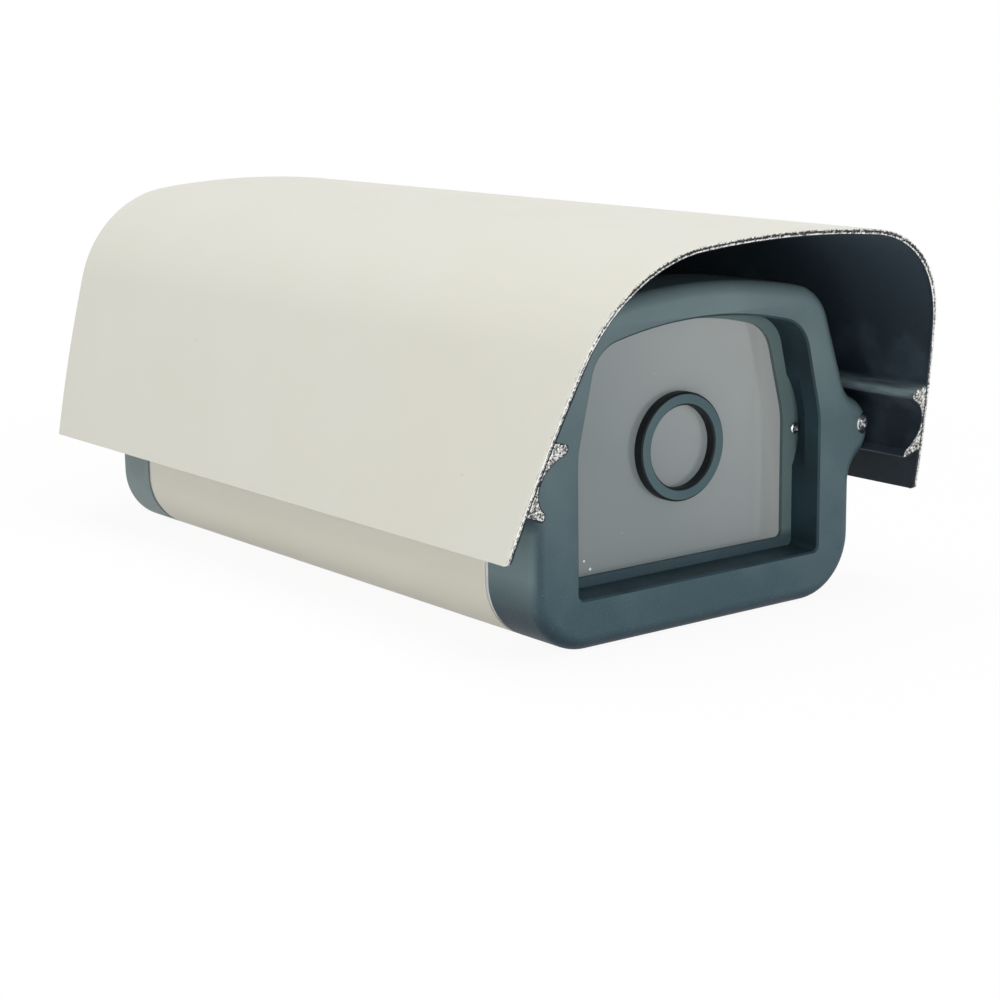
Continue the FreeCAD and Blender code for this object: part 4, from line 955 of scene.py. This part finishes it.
def screw_rule(**sizes):
    """Pan head with a cross recess and its shank, on every point of the start mesh."""
    rule = Rule("cross_screw", Finish=MATERIALS["screw_steel"], **sizes)
    given = rule.given
    head = rule.node("GeometryNodeMeshGrid", {"Vertices X": HEAD_TURNS + 1,
                                              "Vertices Y": HEAD_RINGS + 1,
                                              "Size X": 1.0, "Size Y": 1.0}).outputs["Mesh"]
    around, along, _ = rule.position()
    turn = rule.times(rule.math("ADD", around, 0.5), 2 * math.pi)
    along = rule.math("ADD", along, 0.5)
    over = rule.math("MINIMUM", rule.math("DIVIDE", along, HEAD_SHARE), 1.0)
    past = rule.math("DIVIDE", rule.math("SUBTRACT", along, HEAD_SHARE), 1.0 - HEAD_SHARE)
    under = rule.math("SUBTRACT", 1.0, rule.math("MAXIMUM", past, 0.0))
    bend = rule.times(over, math.pi / 2)
    out, rise = (rule.math("POWER", rule.math("MAXIMUM", rule.math(wave, bend), 0.0),
                           HEAD_SQUARE) for wave in ("SINE", "COSINE"))
    radius = rule.times(out, under, given["Head_Radius"])
    spun = rule.vector(rule.times(radius, rule.math("COSINE", turn)),
                       rule.times(radius, rule.math("SINE", turn)),
                       rule.times(rise, given["Head_Height"]))
    head = rule.change("SetPosition", head, {"Position": spun})
    head = rule.change("MergeByDistance", head, {"Distance": MERGE_DISTANCE})
    head = rule.change("FlipFaces", head)
    shank = rule.node("GeometryNodeMeshCylinder",
                      {"Vertices": SHANK_SIDES, "Radius": given["Shank_Radius"],
                       "Depth": given["Shank_Length"]}).outputs["Mesh"]
    drop = rule.math("MULTIPLY_ADD", given["Shank_Length"], -0.5, SHANK_OVERLAP)
    solid = rule.gathered("MeshBoolean", "Mesh 2", head, rule.lifted(shank, drop),
                          operation="UNION", solver="EXACT")
    arm = rule.times(given["Head_Radius"], CROSS_REACH)
    width, depth = given["Cross_Width"], given["Cross_Depth"]
    bars = [rule.node("GeometryNodeMeshCube",
                      {"Size": rule.vector(*sides, depth)}).outputs["Mesh"]
            for sides in ((arm, width), (width, arm))]
    pit = rule.node("GeometryNodeMeshCone",
                    {"Vertices": PIT_SIDES, "Radius Top": rule.times(arm, PIT_MOUTH),
                     "Radius Bottom": rule.times(arm, PIT_FLOOR),
                     "Depth": rule.times(depth, PIT_DEPTH)}).outputs["Mesh"]
    cross = rule.gathered("MeshBoolean", "Mesh 2", *bars,
                          rule.lifted(pit, rule.times(depth, -PIT_DROP)),
                          operation="UNION", solver="EXACT")
    cut = rule.node("GeometryNodeMeshBoolean",
                    {"Mesh 1": solid, "Mesh 2": rule.lifted(cross, given["Head_Height"])},
                    operation="DIFFERENCE", solver="EXACT").outputs["Mesh"]
    facing = rule.attribute("facing", "FLOAT_VECTOR")
    turned = rule.node("FunctionNodeAlignRotationToVector", {"Vector": facing},
                       axis="Z").outputs[0]
    roll = rule.node("FunctionNodeRandomValue", {3: math.pi / 2, "Seed": SCREW_SEED},
                     data_type="FLOAT").outputs[1]
    own = rule.node("FunctionNodeEulerToRotation", {0: rule.vector(z=roll)}).outputs[0]
    rolled = rule.node("FunctionNodeRotateRotation",
                       {"Rotation": turned, "Rotate By": own},
                       rotation_space="LOCAL").outputs[0]
    copies = rule.change("InstanceOnPoints", given["Geometry"],
                         {"Instance": cut, "Rotation": rolled})
    rule.finish(copies, given["Finish"])
    return rule


def make_screws(node, seats, facing, sizes, length):
    """Screws at their seats, each seat on the surface that the head presses on."""
    name = f"{node}_crossed"
    mesh = bpy.data.meshes.new(name)
    mesh.from_pydata(seats, [], [])
    way = mesh.attributes.new("facing", "FLOAT_VECTOR", "POINT")
    for point in way.data:
        point.vector = facing
    piece = new_piece(name, mesh)
    radius, height, shank_radius = sizes
    screw_rule(Head_Radius=radius, Head_Height=height, Shank_Radius=shank_radius,
               Shank_Length=length, Cross_Width=radius * CROSS_SHARE,
               Cross_Depth=height * CROSS_DEPTH_SHARE).shape(piece)
    mesh = piece.data
    mesh.polygons.foreach_set("use_smooth", [True] * len(mesh.polygons))
    mesh.set_sharp_from_angle(angle=SCREW_SHARP_ANGLE)
    dress(piece, "housing", "screw_steel", node)


def make_screw_sets():
    """Every screw seats where its node's head does."""
    for node, sizes in SCREWS.items():
        low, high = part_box(node)
        radius, height, shank_radius = (size * MM for size in sizes)
        across = high[0] - radius
        if node == "tray_screws":
            along = high[1] - radius
            level = high[2] - height
            seats = [(across * side, along * end, level) for side in (1, -1) for end in (1, -1)]
            facing = (0.0, 0.0, 1.0)
            length = high[2] - low[2] - height
        else:
            rear = node == "rear_cap_screws"
            station = high[1] - height if rear else low[1] + height
            level = (low[2] + high[2]) / 2
            seats = [(across * side, station, level) for side in (1, -1)]
            facing = (0.0, 1.0, 0.0) if rear else (0.0, -1.0, 0.0)
            length = high[1] - low[1] - height
        make_screws(node, seats, facing, (radius, height, shank_radius), length)


# Body, caps, gaskets and fittings, with places in millimetres

RIM_WIDTH = 0.5
RECESS_END = -96.2
FLANGE_START = -96.7
GLASS_FRONT = -95.3
RECESS_HALF_WIDTH = 45.0
RECESS_BOTTOM = 11.0
RECESS_TOP = 84.0
RECESS_MIDDLE = 46.0

# How far the faces of a wall or a rim may turn to the front or the rear, where 1 is all the way
RECESS_TURN = 0.9
RING_TURN = 0.95
RIM_TURN = (0.1, 0.99)


def repaint(piece, slot, chosen):
    """Gives the faces that the test picks, by centre and direction, another finish."""
    mesh = piece.data
    mesh.materials.append(MATERIALS[slot])
    index = len(mesh.materials) - 1
    for face in mesh.polygons:
        if chosen(face.center / MM, face.normal):
            face.material_index = index


# Faces of the recess walls, which take the painted shade
def on_recess_wall(centre, normal):
    inside = abs(centre.x) < RECESS_HALF_WIDTH and RECESS_BOTTOM < centre.z < RECESS_TOP
    inward = normal.x * centre.x + normal.z * (centre.z - RECESS_MIDDLE) < 0
    return inside and inward and abs(normal.y) < RECESS_TURN and centre.y < RECESS_END


# Faces of the flange, which take the painted light
def on_flange(centre, normal):
    return abs(centre.x) < RECESS_HALF_WIDTH and FLANGE_START < centre.y < GLASS_FRONT


def on_any_face(centre, normal):
    return True


# Faces on the roof under the shield, where the dark rim finish stands for painted shade
def on_shaded_roof(centre, normal):
    return centre.z > ROOF_SHADE_FROM[0] / MM


# Faces of the ring's walls and bevels, which take painted shade
def on_ring_wall(centre, normal):
    return abs(normal.y) < RING_TURN


def rim_test(plane, side):
    """Picks the broken edge of a cap beside its gasket, which lies on the given side of it."""
    least, most = RIM_TURN

    def on_rim(centre, normal):
        apart = (plane / MM - centre.y) * side
        return 0.0 < apart < RIM_WIDTH and least < abs(normal.y) < most
    return on_rim


def mark_facing(piece):
    """Keeps the direction of each point, for the painted light on the sides and the painted
    shade on the underside and corners.
    """
    mesh = piece.data
    facing = mesh.attributes.new("facing", "FLOAT_VECTOR", "POINT")
    for kept, vertex in zip(facing.data, mesh.vertices):
        kept.vector = vertex.normal


# Node, body, slot and width of the broken edges in metres
SHELLS = (
    ("body_tube", "housing", "body_paint", 0.00015),
    ("front_cap", "housing", "cap_plastic", 0.0003),
    ("rear_cap", "housing", "cap_plastic", 0.0003),
    ("front_gasket", "housing", "gasket_rubber", 0.0002),
    ("rear_gasket", "housing", "gasket_rubber", 0.0002),
    ("lens_ring", "housing", "ring_plastic", 0.00015),
    ("window_glass", "housing", "window_glass", 0.0),
    ("glass_seal", "housing", "seal_rubber", 0.0),
    ("glass_frame", "housing", "tray_steel", 0.0),
    ("camera_tray", "housing", "tray_steel", 0.0),
    ("camera_block", "seat", "seat_plastic", 0.0002),
    ("camera_pad", "seat", "seal_rubber", 0.0002),
    ("camera_screw", "seat", "screw_steel", 0.00015),
)
GLAND_PARTS = (("body", "gland_plastic"), ("washer", "seal_rubber"), ("seal", "seal_rubber"),
               ("nut", "gland_plastic"), ("locknut", "gland_plastic"))
GLAND_EDGE = 0.0002

# Other finishes on a shell, in the order in which they are laid on
REPAINTS = {
    # Painted shade: the gaskets' tops under the shield and each cap's edge beside its gasket
    # take the dark rim finish
    "rear_gasket": (("weathered_gasket", on_any_face), ("cap_rim", on_shaded_roof)),
    "front_gasket": (("cap_rim", on_shaded_roof),),
    # The flange takes painted light and the recess walls painted shade
    "front_cap": (("flange_plastic", on_flange), ("recess_plastic", on_recess_wall),
                  ("cap_rim", rim_test(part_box("front_gasket")[0].y, 1))),
    "rear_cap": (("weathered_cap", on_any_face),
                 ("cap_rim", rim_test(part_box("rear_gasket")[1].y, -1))),
    # Painted shade on the ring's walls and bevels
    "lens_ring": (("ring_wall", on_ring_wall),),
}


def make_shells():
    for node, body, slot, edge in SHELLS:
        piece = dress(merged_copy(node, slot, edge), body, slot, node)
        for finish, chosen in REPAINTS.get(node, ()):
            repaint(piece, finish, chosen)
        if node == "front_cap":
            mark_facing(piece)
    for side in ("left", "right"):
        for part, slot in GLAND_PARTS:
            node = f"{side}_gland_{part}"
            dress(merged_copy(node, slot, GLAND_EDGE), "housing", slot, node)


# Studio

SKY_LEVEL = 0.46
FLOOR_HALF = 4.0
FLOOR_SHOWN = 0.93
FLOOR_GLOW = 0.05
FLOOR_NEAR = 0.16
FLOOR_FAR = 0.45
MIDDLE = Vector((0.0, 0.0, 0.05))

# Name, place, width in metres and power in watts
LAMPS = (("key", (-0.25, -0.35, 1.6), 1.4, 17.6), ("front", (-0.30, -1.3, 0.08), 0.5, 8.5),
         ("side", (-1.1, 0.1, 0.12), 0.6, 1.5))


def shown_white(nodes, seen, unseen):
    """One strength to the eye, in gloss and through glass, and another to the lighting."""
    path = nodes.node("ShaderNodeLightPath").outputs
    total = path["Is Camera Ray"]
    for name in ("Is Glossy Ray", "Is Transmission Ray"):
        total = nodes.math("MAXIMUM", total, path[name])
    return nodes.range(total, unseen, seen)


def make_world():
    world = bpy.data.worlds.new("studio")
    world.use_nodes = True
    SCENE.world = world
    sky = Nodes(world.node_tree)
    shade = sky.tree.nodes["Background"].inputs
    sky.put(shade["Color"], (1.0, 1.0, 1.0, 1.0))
    sky.put(shade["Strength"], shown_white(sky, 1.0, SKY_LEVEL))


def make_floor():
    """White floor that shows the soft shadow near the object and fades into the background."""
    mesh = bpy.data.meshes.new("floor")
    corners = [(FLOOR_HALF * x, FLOOR_HALF * y, 0)
               for x, y in ((-1, -1), (1, -1), (1, 1), (-1, 1))]
    mesh.from_pydata(corners, [], [(0, 1, 2, 3)])
    floor = new_piece("floor", mesh)
    material = bpy.data.materials.new("floor_white")
    material.use_nodes = True
    white = Nodes(material.node_tree)
    white.tree.nodes.clear()
    place = white.node("ShaderNodeTexCoord").outputs["Object"]
    away = white.node("ShaderNodeVectorMath", {0: place}, operation="LENGTH").outputs["Value"]
    fade = white.range(away, FLOOR_SHOWN, 1.0, FLOOR_NEAR, FLOOR_FAR, "SMOOTHSTEP")
    matt = white.node("ShaderNodeBsdfDiffuse", {"Color": FLOOR_WHITE}).outputs[0]
    glow = white.node("ShaderNodeEmission").outputs[0]
    blend = white.node("ShaderNodeMixShader",
                       {0: shown_white(white, fade, FLOOR_GLOW), 1: matt, 2: glow})
    white.node("ShaderNodeOutputMaterial", {"Surface": blend.outputs[0]})
    mesh.materials.append(material)


def make_lamps():
    """Soft round lamps that face the middle of the housing."""
    for name, place, width, watts in LAMPS:
        data = bpy.data.lights.new(name, "AREA")
        data.shape = "DISK"
        data.size = width
        data.energy = watts
        lamp = bpy.data.objects.new(name, data)
        lamp.location = place
        lamp.rotation_euler = (MIDDLE - Vector(place)).to_track_quat("-Z", "Y").to_euler()
        SCENE.collection.objects.link(lamp)


SCENE.view_settings.view_transform = "Standard"
make_camera()
make_sunshield()
make_shells()
make_screw_sets()
make_world()
make_floor()
make_lamps()
